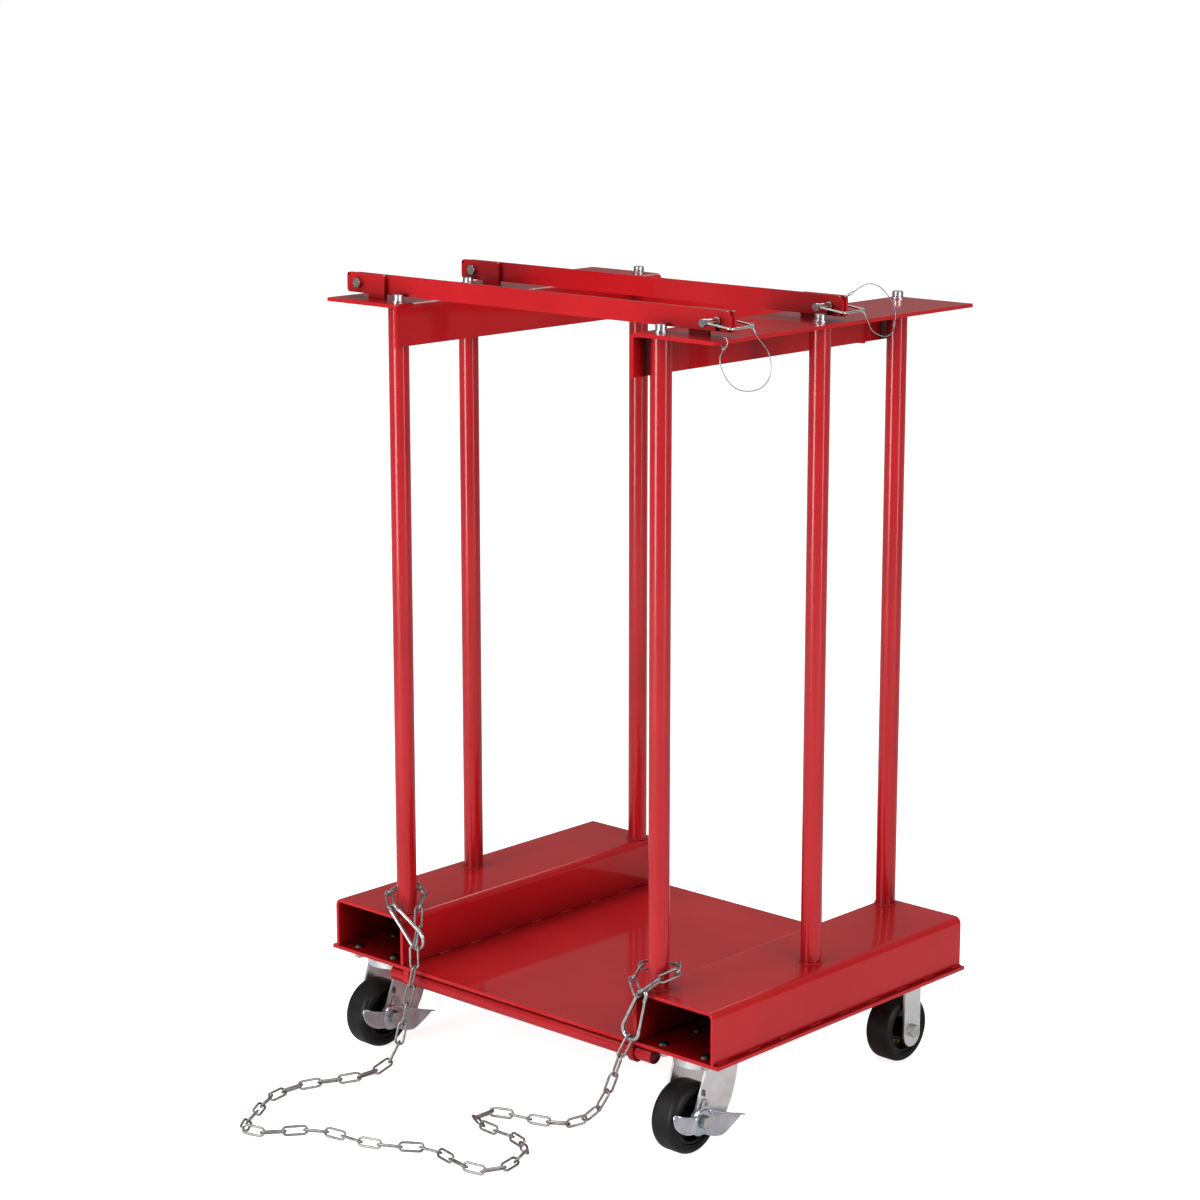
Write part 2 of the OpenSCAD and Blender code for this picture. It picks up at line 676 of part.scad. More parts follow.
// Swept tube of a cord
function unit(v) = v / norm(v);
function catmull(p0, p1, p2, p3, t) = 0.5 * ((2 * p1) + (p2 - p0) * t
    + (2 * p0 - 5 * p1 + 4 * p2 - p3) * t * t + (3 * p1 - p0 - 3 * p2 + p3) * t * t * t);
function smooth_route(p, steps) = [
    for (i = [0 : len(p) - 2], k = [0 : steps - 1])
        catmull(p[max(i - 1, 0)], p[i], p[i + 1], p[min(i + 2, len(p) - 1)], k / steps),
    p[len(p) - 1]
];

// One link lying along X, flat in the XY plane
module chain_link() {
    for (s = [0, 180]) rotate([0, 0, s]) {
        translate([link_arc_x, 0, 0]) rotate([0, 0, -90]) wire_bend(link_arc_r, link_wire_d / 2, 180);
        translate([-link_arc_x, link_arc_r, 0]) rotate([0, 90, 0])
            cylinder(d = link_wire_d, h = 2 * link_arc_x, $fn = 32);
    }
}

module chain_run(route) {
    for (p = route) translate([p[0], p[1], p[2]]) rotate([p[3], p[4], p[5]]) chain_link();
}

module chain_links() {
    color(bright_zinc) chain_run(chain_route);
}

module post_chain_loop() {
    color(bright_zinc) chain_run(post_loop_route);
}

// Tube swept along a route: one ring a point, closed at both ends
module rope_tube(route) {
    p = smooth_route(route, smooth_steps);
    n = len(p);
    dirs = [for (i = [0 : n - 1]) unit(p[min(i + 1, n - 1)] - p[max(i - 1, 0)])];
    rings = [for (i = [0 : n - 1], k = [0 : rope_sides - 1]) let(
        u = unit(cross([1, 0, 0], dirs[i])),
        v = cross(dirs[i], u),
        a = k * 360 / rope_sides
    ) p[i] + rope_d / 2 * (cos(a) * u + sin(a) * v)];
    sides = [for (i = [0 : n - 2], k = [0 : rope_sides - 1]) let(k2 = (k + 1) % rope_sides)
        [i * rope_sides + k, i * rope_sides + k2, (i + 1) * rope_sides + k2, (i + 1) * rope_sides + k]];
    first = [for (k = [rope_sides - 1 : -1 : 0]) k];
    last = [for (k = [0 : rope_sides - 1]) (n - 1) * rope_sides + k];
    polyhedron(points = rings, faces = concat([first], sides, [last]));
}

module front_lanyard() {
    color(bright_zinc) rope_tube(front_rope_route);
}

module middle_lanyard() {
    color(bright_zinc) rope_tube(middle_rope_route);
}

// Pear-shaped hook in its own plane: wide end at the origin, small end along +X, gate on the -Y side
hook_flare = atan((hook_wide_r - hook_small_r) / hook_reach);
hook_side = hook_reach / cos(hook_flare);

// Point on the gate side, from the small bend's end towards the wide bend
module at_gate_side(share) {
    translate([hook_reach, hook_small_r, 0]) rotate([0, 0, -hook_flare]) translate([-share * hook_side, 0, 0])
        children();
}

// The legs are a hair thinner than the bends and run a little way into them
module hook_body() {
    r = hook_wire_d / 2;
    leg_r = r - hook_leg_step;
    lap = hook_wire_d;
    difference() {
        union() {
            rotate([0, 0, 90]) wire_bend(hook_wide_r, r, 180);
            translate([hook_reach, 0, 0]) rotate([0, 0, -90]) wire_bend(hook_small_r, r, 180);
            translate([hook_reach, -hook_small_r, 0]) rotate([0, 0, hook_flare])
                translate([hook_leg_run, 0, 0]) rotate([0, -90, 0])
                    cylinder(r = leg_r, h = hook_side + 2 * hook_leg_run, $fn = 48);
            at_gate_side(gate_start_share) rotate([0, 90, 0])
                cylinder(r = leg_r, h = gate_start_share * hook_side + hook_leg_run, $fn = 48);
            at_gate_side(1) translate([-hook_leg_run, 0, 0]) rotate([0, 90, 0])
                cylinder(r = leg_r, h = (1 - gate_end_share) * hook_side + hook_leg_run, $fn = 48);
        }
        at_gate_side(gate_start_share) translate([-cut_over, -r - cut_over, -hook_lap_gap / 2])
            cube([lap + cut_over, 2 * r + 2 * cut_over, r + cut_over]);
    }
    at_gate_side(gate_start_share) translate([lap / 2, 0, -r / 2])
        cylinder(d = gate_pin_d, h = gate_pin_l, $fn = 32);
}

module hook_gate() {
    r = gate_wire_d / 2;
    lap = hook_wire_d;
    span = (gate_end_share - gate_start_share) * hook_side;
    difference() {
        union() {
            at_gate_side(gate_start_share) translate([-gate_heel, 0, 0]) rotate([0, -90, 0])
                cylinder(r = r, h = span - gate_heel - run_gap, $fn = 48);
            at_gate_side(gate_start_share) translate([lap / 2, 0, hook_lap_gap / 2])
                cylinder(r = r, h = r - hook_lap_gap / 2, $fn = 48);
            at_gate_side(gate_start_share) translate([-gate_heel, -r, hook_lap_gap / 2])
                cube([lap / 2 + gate_heel, 2 * r, r - hook_lap_gap / 2]);
        }
        at_gate_side(gate_start_share) translate([lap / 2, 0, -cut_over])
            cylinder(d = gate_pin_d + 2 * fit_gap, h = r + 2 * cut_over, $fn = 32);
    }
}

module place_hook(wide, turn) {
    translate(wide) rotate([90, 0, 0]) rotate([0, 0, turn]) mirror([0, 1, 0]) children();
}

module snap_hook(wide, turn) {
    color(bright_zinc) place_hook(wide, turn) hook_body();
}

module snap_hook_gate(wide, turn) {
    color(bright_zinc) place_hook(wide, turn) hook_gate();
}

// Mounting plate of a front caster with its upper race, kingpin and lock ring
module front_caster_plate(side) {
    color(satin_zinc) translate([side * caster_x, -kingpin_y, 0]) difference() {
        union() {
            translate([0, 0, caster_h - plate_t]) round_plate(plate_w, plate_l, plate_t, plate_r);
            translate([0, 0, race_under]) cylinder(d = race_d, h = race_t, $fn = 96);
            translate([0, 0, crown_under - run_gap - king_head_t])
                cylinder(d = king_d, h = race_under - crown_under + run_gap + king_head_t, $fn = 64);
            translate([0, 0, crown_under - run_gap - king_head_t])
                cylinder(d = king_head_d, h = king_head_t, $fn = 64);
            translate([0, 0, crown_under - run_gap - king_head_t - lock_ring_t])
                cylinder(d = lock_ring_d, h = lock_ring_t, $fn = 96);
        }
        for (sx = [-1, 1], sy = [-1, 1])
            translate([sx * bolt_pitch_x / 2, sy * bolt_pitch_y / 2, caster_h - plate_t - cut_over])
                cylinder(d = caster_bolt_d + 2 * seat_gap, h = plate_t + 2 * cut_over, $fn = 32);
        for (i = [0 : lock_teeth - 1]) rotate([0, 0, i * 360 / lock_teeth])
            translate([lock_ring_d / 2 - lock_tooth_l, -lock_tooth_w / 2,
                       crown_under - run_gap - king_head_t - lock_ring_t - cut_over])
                cube([lock_tooth_l + cut_over, lock_tooth_w, lock_ring_t + cut_over - run_gap]);
    }
}

module swivel_balls() {
    color(bright_zinc) for (side = [-1, 1], i = [0 : balls_n - 1])
        translate([side * caster_x, -kingpin_y, crown_top + run_gap + ball_d / 2])
            rotate([0, 0, i * 360 / balls_n]) translate([ball_ring_d / 2, 0, 0]) sphere(d = ball_d, $fn = 24);
}

// Outline of a front fork leg in the YZ plane, front edge first
module front_leg_outline() {
    h = crown_top;
    difference() {
        union() {
            polygon(concat(
                [for (p = fork_front_shares) [-kingpin_y + caster_trail * p[0], h * p[1]]],
                [[-kingpin_y - caster_trail, axle_z - front_leg_r / 2]],
                [for (i = [len(fork_leg_shares) - 1 : -1 : 0])
                    [-kingpin_y + caster_trail * fork_leg_shares[i][0], h * fork_leg_shares[i][1]]]));
            translate([-kingpin_y - caster_trail, axle_z]) circle(r = front_leg_r, $fn = 64);
        }
        translate([-kingpin_y - caster_trail, axle_z]) circle(d = axle_d + 2 * seat_gap, $fn = 48);
    }
}

// Swivel fork: crown with its raised lip and two legs
module front_caster_fork(side) {
    color(satin_zinc) translate([side * caster_x, 0, 0]) {
        translate([0, -kingpin_y, crown_under]) difference() {
            union() {
                cylinder(d = crown_d, h = crown_t, $fn = 96);
                cylinder(d = crown_d, h = crown_t + crown_lip, $fn = 96);
            }
            translate([0, 0, crown_t]) cylinder(d = crown_d - 2 * crown_wall, h = crown_lip + cut_over, $fn = 96);
            translate([0, 0, -cut_over]) cylinder(d = king_d + 4 * fit_gap, h = crown_t + 2 * cut_over, $fn = 64);
        }
        for (s = [-1, 1]) translate([s * (fork_gap / 2 + leg_t / 2) - leg_t / 2, 0, 0])
            rotate([90, 0, 90]) linear_extrude(leg_t) front_leg_outline();
    }
}

// Outline of a wheel core: rim, web and hub, as radius and width
module core_profile() {
    hub_w = fork_gap - 2 * hub_gap;
    translate([bush_d / 2 + fit_gap, -hub_w / 2]) square([hub_d / 2 - bush_d / 2 - fit_gap, hub_w]);
    translate([hub_d / 2 - cut_over, -core_web_t / 2])
        square([core_d / 2 - core_rim_t - hub_d / 2 + 2 * cut_over, core_web_t]);
    translate([core_d / 2 - core_rim_t, -core_w / 2]) square([core_rim_t, core_w]);
}

// Rubber tyre with rounded shoulders and a stepped side
module tyre_profile() {
    r = wheel_w / 4;
    inner = core_d / 2 + tyre_gap;
    intersection() {
        translate([inner, -wheel_w / 2]) square([wheel_d / 2 - inner, wheel_w]);
        union() {
            translate([inner, -wheel_w / 2 + r]) square([wheel_d / 2 - inner, wheel_w - 2 * r]);
            for (s = [-1, 1]) translate([wheel_d / 2 - r, s * (wheel_w / 2 - r)]) circle(r = r, $fn = 64);
            translate([inner, -wheel_w / 2 + tyre_step]) square([tyre_lip, wheel_w - 2 * tyre_step]);
        }
    }
}

module at_wheel(x, y) {
    translate([x, y, axle_z]) rotate([0, 90, 0]) children();
}

front_axle_y = -kingpin_y - caster_trail;

module wheel_core(x, y) {
    color(core_black) at_wheel(x, y) rotate_extrude($fn = 96) core_profile();
}

module tyre(x, y) {
    color(black_rubber) at_wheel(x, y) rotate_extrude($fn = 96) tyre_profile();
}

module bushing(x, y) {
    color(bright_zinc) at_wheel(x, y) difference() {
        cylinder(d = bush_d, h = fork_gap, center = true, $fn = 64);
        cylinder(d = axle_d + 2 * seat_gap, h = fork_gap + 2 * cut_over, center = true, $fn = 64);
    }
}

// Axle bolt along +X with its nut on the -X side
module axle_bolt(x, y, head_out) {
    out = fork_gap / 2 + leg_t;
    color(bright_zinc) at_wheel(x, y) {
        translate([0, 0, head_out]) rotate([0, 0, 30]) hex_body(axle_head_af, axle_head_t);
        translate([0, 0, -out - axle_nut_t - axle_end])
            cylinder(d = axle_d, h = out + axle_nut_t + axle_end + head_out, $fn = 48);
        translate([0, 0, -out - axle_nut_t]) difference() {
            hex_body(axle_head_af, axle_nut_t);
            translate([0, 0, -cut_over]) cylinder(d = axle_d, h = axle_nut_t + 2 * cut_over, $fn = 48);
        }
    }
}

// Brake pedal: rocker on the outer leg, front wing up at rest
module wing_outline(shares) {
    polygon([for (p = shares) [p[0] * pedal_arm, p[1] * pedal_arm]]);
}

// Foot rail folded outwards along a wing's upper edge, between two shares of the arm
module wing_foot(a, b) {
    va = [a[0] * pedal_arm, a[1] * pedal_arm];
    vb = [b[0] * pedal_arm, b[1] * pedal_arm];
    span = norm(vb - va);
    translate([0, va[0], va[1]]) rotate([atan2(vb[1] - va[1], vb[0] - va[0]), 0, 0])
        translate([pedal_t / 2, pedal_foot_in, -pedal_t - pedal_foot_sink])
            cube([pedal_wing_w - pedal_t / 2, span - 2 * pedal_foot_in, pedal_t]);
}

module brake_pedal(side) {
    x0 = side * caster_x + fork_gap / 2 + leg_t + run_gap;
    color(bright_zinc) translate([x0, front_axle_y, axle_z]) rotate([-pedal_tilt, 0, 0]) difference() {
        union() {
            rotate([90, 0, 90]) linear_extrude(pedal_t) union() {
                circle(d = pedal_disc_d, $fn = 64);
                wing_outline(pedal_front_shares);
                wing_outline(pedal_rear_shares);
            }
            wing_foot(pedal_front_shares[2], pedal_front_shares[1]);
            wing_foot(pedal_rear_shares[1], pedal_rear_shares[2]);
            rotate([0, 90, 0]) cylinder(d = pedal_washer_d, h = pedal_t + pedal_washer_t, $fn = 64);
        }
        translate([-cut_over, 0, 0]) rotate([0, 90, 0])
            cylinder(d = axle_d + 2 * fit_gap, h = pedal_wing_w + 2 * cut_over, $fn = 48);
    }
}

// Rear rigid caster: plate and two flat legs with rounded ends
module rear_caster_fork(side) {
    color(satin_zinc) translate([side * caster_x, rear_axle_y, 0]) difference() {
        union() {
            translate([0, 0, caster_h - plate_t]) round_plate(plate_w, plate_l, plate_t, plate_r);
            for (s = [-1, 1]) translate([s * (fork_gap / 2 + leg_t / 2) - leg_t / 2, 0, 0])
                rotate([90, 0, 90]) linear_extrude(leg_t) union() {
                    translate([-rear_leg_w / 2, axle_z - rear_leg_drop])
                        square([rear_leg_w, caster_h - plate_t - axle_z + rear_leg_drop + cut_over]);
                    translate([0, axle_z - rear_leg_drop]) circle(r = rear_leg_r, $fn = 64);
                }
        }
        translate([0, 0, axle_z]) rotate([0, 90, 0])
            cylinder(d = axle_d + 2 * seat_gap, h = fork_gap + 4 * leg_t, center = true, $fn = 48);
        for (sx = [-1, 1], sy = [-1, 1])
            translate([sx * bolt_pitch_x / 2, sy * bolt_pitch_y / 2, caster_h - plate_t - cut_over])
                cylinder(d = caster_bolt_d + 2 * seat_gap, h = plate_t + 2 * cut_over, $fn = 32);
    }
}

module caster_bolts() {
    color(satin_zinc) at_caster_bolts() {
        translate([0, 0, deck_top]) intersection() {
            cylinder(d = caster_head_d, h = caster_head_h, $fn = 64);
            translate([0, 0, caster_head_h - dome_r]) sphere(r = dome_r, $fn = 96);
        }
        translate([0, 0, caster_h - plate_t - caster_nut_h])
            cylinder(d = caster_bolt_d, h = plate_t + caster_nut_h + deck_t, $fn = 32);
    }
}

// Radius of the sphere that rounds a bolt's head
dome_r = (pow(caster_head_d / 2, 2) + pow(caster_head_h, 2)) / (2 * caster_head_h);

module caster_nuts() {
    color(bright_zinc) at_caster_bolts() translate([0, 0, caster_h - plate_t - caster_nut_h]) difference() {
        hex_body(caster_nut_af, caster_nut_h);
        translate([0, 0, -cut_over]) cylinder(d = caster_bolt_d, h = caster_nut_h + 2 * cut_over, $fn = 32);
    }
}

// Distance of a bolt head from the wheel's middle plane
front_head_out = fork_gap / 2 + leg_t + 2 * run_gap + pedal_t + pedal_washer_t;
rear_head_out = fork_gap / 2 + leg_t;

module rear_bushings() {
    for (s = [-1, 1]) bushing(s * caster_x, rear_axle_y);
}

module rear_axle_bolts() {
    for (s = [-1, 1]) axle_bolt(s * caster_x, rear_axle_y, rear_head_out);
}

deck_plate();
fork_pocket(-1);  // fork_pocket_left
fork_pocket(1);  // fork_pocket_right
post(post_places[0]);  // post_front_left
post(post_places[1]);  // post_front_right
post(post_places[2]);  // post_middle_left
post(post_places[3]);  // post_middle_right
post(post_places[4]);  // post_rear_left
post(post_places[5]);  // post_rear_right
top_rail(-1);  // top_rail_left
top_rail(1);  // top_rail_right
rail_cap_bolts();
rear_cross_rail();
front_pipe();
pipe_hangers();
bar_lugs(front_bar_y);  // front_bar_lugs
bar_lugs(middle_bar_y);  // middle_bar_lugs
retaining_bar(front_bar_y);  // front_bar
retaining_bar(middle_bar_y);  // middle_bar
bar_pivot_bolts();
lock_pin(front_bar_y);  // front_lock_pin
lock_pin(middle_bar_y);  // middle_lock_pin
pin_bail(front_bar_y);  // front_pin_bail
pin_bail(middle_bar_y);  // middle_pin_bail
bail_eye(front_bar_y);  // front_bail_eye
bail_eye(middle_bar_y);  // middle_bail_eye
front_lanyard();
middle_lanyard();
lanyard_anchor_eyes();
chain_links();
post_chain_loop();
snap_hook(left_hook_wide, left_hook_turn);  // left_snap_hook
snap_hook(right_hook_wide, right_hook_turn);  // right_snap_hook
snap_hook_gate(left_hook_wide, left_hook_turn);  // left_hook_gate
snap_hook_gate(right_hook_wide, right_hook_turn);  // right_hook_gate
front_caster_plate(-1);  // front_left_caster_plate
front_caster_plate(1);  // front_right_caster_plate
swivel_balls();
front_caster_fork(-1);  // front_left_caster_fork
front_caster_fork(1);  // front_right_caster_fork
wheel_core(-caster_x, front_axle_y);  // front_left_wheel
wheel_core(caster_x, front_axle_y);  // front_right_wheel
tyre(-caster_x, front_axle_y);  // front_left_tyre
tyre(caster_x, front_axle_y);  // front_right_tyre
bushing(-caster_x, front_axle_y);  // front_left_bushing
bushing(caster_x, front_axle_y);  // front_right_bushing
axle_bolt(-caster_x, front_axle_y, front_head_out);  // front_left_axle_bolt
axle_bolt(caster_x, front_axle_y, front_head_out);  // front_right_axle_bolt
brake_pedal(-1);  // front_left_brake_pedal
brake_pedal(1);  // front_right_brake_pedal
rear_caster_fork(-1);  // rear_left_caster_fork
rear_caster_fork(1);  // rear_right_caster_fork
wheel_core(-caster_x, rear_axle_y);  // rear_left_wheel
wheel_core(caster_x, rear_axle_y);  // rear_right_wheel
tyre(-caster_x, rear_axle_y);  // rear_left_tyre
tyre(caster_x, rear_axle_y);  // rear_right_tyre
rear_bushings();
rear_axle_bolts();
caster_bolts();
caster_nuts();
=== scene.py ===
"""Gas cylinder cart: powder-coated steel with its bars, pins, chain and casters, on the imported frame"""
import json
import math

import bmesh
import bpy
import numpy as np
from mathutils import Matrix, Vector


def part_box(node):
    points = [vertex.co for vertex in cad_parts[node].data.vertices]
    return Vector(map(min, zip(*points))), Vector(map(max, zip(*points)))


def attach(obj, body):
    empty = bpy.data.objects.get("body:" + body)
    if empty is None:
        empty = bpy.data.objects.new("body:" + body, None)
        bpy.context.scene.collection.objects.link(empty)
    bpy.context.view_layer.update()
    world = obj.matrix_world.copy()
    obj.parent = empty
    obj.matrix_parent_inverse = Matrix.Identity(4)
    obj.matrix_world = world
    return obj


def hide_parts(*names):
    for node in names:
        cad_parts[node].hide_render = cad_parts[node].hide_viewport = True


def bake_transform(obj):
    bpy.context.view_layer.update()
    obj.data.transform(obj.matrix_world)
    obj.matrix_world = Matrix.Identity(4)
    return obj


MM = 0.001

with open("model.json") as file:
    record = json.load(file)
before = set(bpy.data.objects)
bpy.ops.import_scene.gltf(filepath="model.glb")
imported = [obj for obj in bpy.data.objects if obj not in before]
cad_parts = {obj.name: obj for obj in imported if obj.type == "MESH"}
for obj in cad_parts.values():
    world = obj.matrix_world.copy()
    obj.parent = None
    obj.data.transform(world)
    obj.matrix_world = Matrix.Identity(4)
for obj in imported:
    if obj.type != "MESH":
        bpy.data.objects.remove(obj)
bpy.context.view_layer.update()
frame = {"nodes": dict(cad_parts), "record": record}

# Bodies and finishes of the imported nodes
record = frame["record"]
BODY_OF = {node: body for body, nodes in record["behaviour"]["bodies"].items() for node in nodes}
SLOT_OF = {part["node"]: part["material_slot"] for part in record["subparts"]}


def box_mm(node):
    """A node's lowest and highest corners at rest, in mm"""
    return [[round(c / MM, 2) for c in corner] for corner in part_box(node)]


def middle_mm(node):
    """The middle of a node's box at rest, in mm"""
    return [round((a + b) / 2, 2) for a, b in zip(*box_mm(node))]


# Axle places: each wheel's x and y, and the height that all of them share
CASTERS = ("front_left", "front_right", "rear_left", "rear_right")
WHEELS = {place: middle_mm(place + "_tyre")[:2] for place in CASTERS}
AXLE_Z = middle_mm("front_left_tyre")[2]


# Colour and node helpers

def linear(code):
    """A colour written as hex sRGB, as linear RGBA"""
    parts = [int(code[i:i + 2], 16) / 255 for i in (1, 3, 5)]
    return [c / 12.92 if c <= 0.04045 else ((c + 0.055) / 1.055) ** 2.4 for c in parts] + [1.0]


def add(tree, kind, inputs=None, **settings):
    """A node of that kind with its settings; each input takes a value or another node's output"""
    item = tree.nodes.new(kind)
    for key, value in settings.items():
        setattr(item, key, value)
    for key, value in (inputs or {}).items():
        if isinstance(value, bpy.types.NodeSocket):
            tree.links.new(value, item.inputs[key])
        else:
            item.inputs[key].default_value = value
    return item


def finish(name, **values):
    """A new material, its node tree and its shader, with the shader's own values set"""
    mat = bpy.data.materials.new(name)
    mat.use_nodes = True
    tree = mat.node_tree
    shader = tree.nodes["Principled BSDF"]
    for key, value in values.items():
        shader.inputs[key.replace("_", " ")].default_value = value
    return mat, tree, shader


def grain(tree, size_mm, detail):
    """Noise on the object's own coordinates, one feature about size_mm wide"""
    place = add(tree, "ShaderNodeTexCoord").outputs["Object"]
    return add(tree, "ShaderNodeTexNoise", {
        "Vector": place, "Scale": 1 / (size_mm * MM), "Detail": detail}).outputs["Fac"]


def between(tree, fac, low, high):
    """A number between low and high as fac goes from 0.3 to 0.7"""
    return add(tree, "ShaderNodeMapRange", {
        "Value": fac, "From Min": 0.3, "From Max": 0.7, "To Min": low, "To Max": high}).outputs["Result"]


def tint(tree, fac, low, high):
    """A colour between two hex colours as fac goes from 0.3 to 0.7"""
    share = between(tree, fac, 0, 1)
    mix = add(tree, "ShaderNodeMix", {"Factor": share}, data_type="RGBA")
    mix.inputs["A"].default_value = linear(low)
    mix.inputs["B"].default_value = linear(high)
    return mix.outputs["Result"]


def bump(tree, shader, height, depth_mm):
    """Relief of that real depth on a shader"""
    relief = add(tree, "ShaderNodeBump", {"Height": height, "Distance": depth_mm * MM})
    tree.links.new(relief.outputs["Normal"], shader.inputs["Normal"])


def wire(tree, shader, socket, output):
    """Links an output to one of a shader's sockets"""
    tree.links.new(output, shader.inputs[socket])


def with_painted_shade(tree, colour, reach_mm, dark):
    """Painted shade: a colour taken down to a dark share of itself in corners and hollows about reach_mm
    deep
    """
    hollow = add(tree, "ShaderNodeAmbientOcclusion", {"Distance": reach_mm * MM}, samples=6)
    share = add(tree, "ShaderNodeMapRange", {
        "Value": hollow.outputs["AO"], "From Min": 0.12, "From Max": 0.85, "To Min": dark, "To Max": 1.0})
    return add(tree, "ShaderNodeVectorMath", {0: colour, "Scale": share.outputs["Result"]},
               operation="SCALE").outputs["Vector"]


# Powder coat on steel: sprayed thick and baked, so deep red under a clear gloss that shows soft lamp streaks
# and a fine orange peel. Broad clouds in the colour, and painted shade darkening it in corners where less
# light gets in.
CLOUD_MM = 160
# How deep and how dark the painted shade in corners and hollows goes
PAINTED_SHADE_REACH_MM = 130
PAINTED_SHADE_DARK = 0.03


def powder_coat(name, low, high, peel_mm, peel_depth_mm, rough, gloss, gloss_rough):
    mat, tree, shader = finish(
        name, IOR=1.5, Specular_IOR_Level=0.1, Coat_Weight=gloss, Coat_Roughness=gloss_rough)
    colour = tint(tree, grain(tree, CLOUD_MM, 2), low, high)
    # The base colour carries painted shade, darker in corners and hollows
    wire(tree, shader, "Base Color", with_painted_shade(tree, colour, PAINTED_SHADE_REACH_MM, PAINTED_SHADE_DARK))
    wire(tree, shader, "Roughness", between(tree, grain(tree, 60, 3), rough - 0.03, rough + 0.04))
    bump(tree, shader, grain(tree, peel_mm, 2), peel_depth_mm)
    return mat


# Flat sheet is a little duller than the drawn tube of the posts, whose streaks are long and bright.
# The front pipe was rough before it was coated, so its coat is pebbled.
red_coat = powder_coat("Red powder coat on steel", "#bd0e18", "#c9181f", 2.2, 0.006, 0.4, 0.5, 0.06)
tube_coat = powder_coat("Red powder coat on drawn tube", "#b40d18", "#c11620", 2.2, 0.006, 0.4, 0.8, 0.1)
rough_coat = powder_coat("Red powder coat on a rough pipe", "#b00f18", "#c3171f", 5.0, 0.45, 0.45, 0.6, 0.06)


# Plated and bare metal: bright, with clouds of slightly different grey and gloss, cloud_mm across
def plated(name, low, high, cloud_mm, rough, spread, relief_mm=0.0):
    mat, tree, shader = finish(name, Metallic=1.0)
    cloud = grain(tree, cloud_mm, 4)
    wire(tree, shader, "Base Color", tint(tree, cloud, low, high))
    wire(tree, shader, "Roughness", between(tree, cloud, rough - spread, rough + spread))
    if relief_mm:
        bump(tree, shader, grain(tree, cloud_mm / 6, 2), relief_mm)
    return mat


# Zinc on drawn wire is bright and a little yellow; on pressed steel it is satin and pale; the brake pedals'
# zinc has a blue cast; the bolt heads on the deck take a darker zinc as painted shade and painted dark
# reflection.
# A chain that is dragged over the floor has lost its shine, and the rope's steel is grey between its
# strands.
bright_zinc = plated("Bright zinc plate on wire and bolts", "#b9b9b8", "#dadad8", 9, 0.2, 0.05)
satin_zinc = plated("Satin zinc plate on pressed steel", "#e0e1e2", "#f3f4f5", 22, 0.33, 0.06, 0.006)
pedal_zinc = plated(
    "Zinc plate with a blue cast on the brake pedals", "#bdc4cd", "#dae0e7", 18, 0.28, 0.05, 0.006)
zinc_with_painted_shade = plated("Zinc on the deck's bolt heads, darkened as painted shade", "#55534e", "#77746c", 5, 0.26, 0.05)
spring_steel = plated("Dark oiled spring steel", "#2b2b2d", "#454548", 4, 0.35, 0.05)
chrome = plated("Satin chrome on the cap bolts", "#c9ccd0", "#e4e6e8", 20, 0.27, 0.03)
chain_zinc = plated("Zinc plate on the chain, dulled by handling", "#8d8b89", "#b4b2b0", 7, 0.4, 0.07)
rope_steel = plated("Stranded stainless rope", "#9a9da1", "#c6c8cb", 3, 0.32, 0.06)
brass = plated("Brass grease fittings", "#a8884a", "#c4a462", 6, 0.3, 0.05)


# Moulded black: a soft sheen from the mould's fine texture, and faint clouds
def moulded(name, low, high, rough, relief_mm, depth_mm):
    mat, tree, shader = finish(name, IOR=1.5, Specular_IOR_Level=0.3)
    cloud = grain(tree, 12, 3)
    wire(tree, shader, "Base Color", tint(tree, cloud, low, high))
    wire(tree, shader, "Roughness", between(tree, cloud, rough - 0.05, rough + 0.05))
    bump(tree, shader, grain(tree, relief_mm, 3), depth_mm)
    return mat


rubber = moulded("Moulded black rubber", "#0a0a0b", "#121213", 0.45, 0.8, 0.02)
core_paint = moulded("Moulded dark wheel core", "#0e0e0f", "#161617", 0.36, 1.5, 0.03)


# Geometry helpers

def new_object(name, mesh, mat, sharp=35):
    """An object of that mesh, smooth but for edges above the sharp angle"""
    mesh.materials.clear()
    mesh.materials.append(mat)
    mesh.shade_smooth()
    mesh.set_sharp_from_angle(angle=math.radians(sharp))
    obj = bpy.data.objects.new(name, mesh)
    bpy.context.scene.collection.objects.link(obj)
    return obj


def solid(name, points, faces, mat, sharp):
    """A closed mesh from points in mm, its faces turned outwards"""
    mesh = bpy.data.meshes.new(name)
    mesh.from_pydata([tuple(float(c) * MM for c in p) for p in points], [], faces)
    form = bmesh.new()
    form.from_mesh(mesh)
    bmesh.ops.remove_doubles(form, verts=form.verts, dist=0.000002)
    bmesh.ops.recalc_face_normals(form, faces=form.faces)
    form.to_mesh(mesh)
    form.free()
    return new_object(name, mesh, mat, sharp)


def settle(obj, body, slot, *nodes):
    """The finished piece rides its body and stands for these nodes; slot is not used"""
    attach(obj, body)
    if nodes:
        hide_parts(*nodes)


def soften(node, mat, width, segments):
    """A merged copy of a node with its edges broken, width in mm"""
    mesh = frame["nodes"][node].data.copy()
    form = bmesh.new()
    form.from_mesh(mesh)
    bmesh.ops.remove_doubles(form, verts=form.verts, dist=0.00002)
    bmesh.ops.dissolve_limit(form, angle_limit=math.radians(0.5), verts=form.verts, edges=form.edges)
    bmesh.ops.recalc_face_normals(form, faces=form.faces)
    form.to_mesh(mesh)
    form.free()
    obj = new_object(node + "_look", mesh, mat)
    edge = obj.modifiers.new("broken_edge", "BEVEL")
    edge.width = width * MM
    edge.segments = segments
    edge.limit_method = "ANGLE"
    edge.angle_limit = math.radians(38)
    edge.harden_normals = True
    settle(obj, BODY_OF[node], SLOT_OF[node], node)


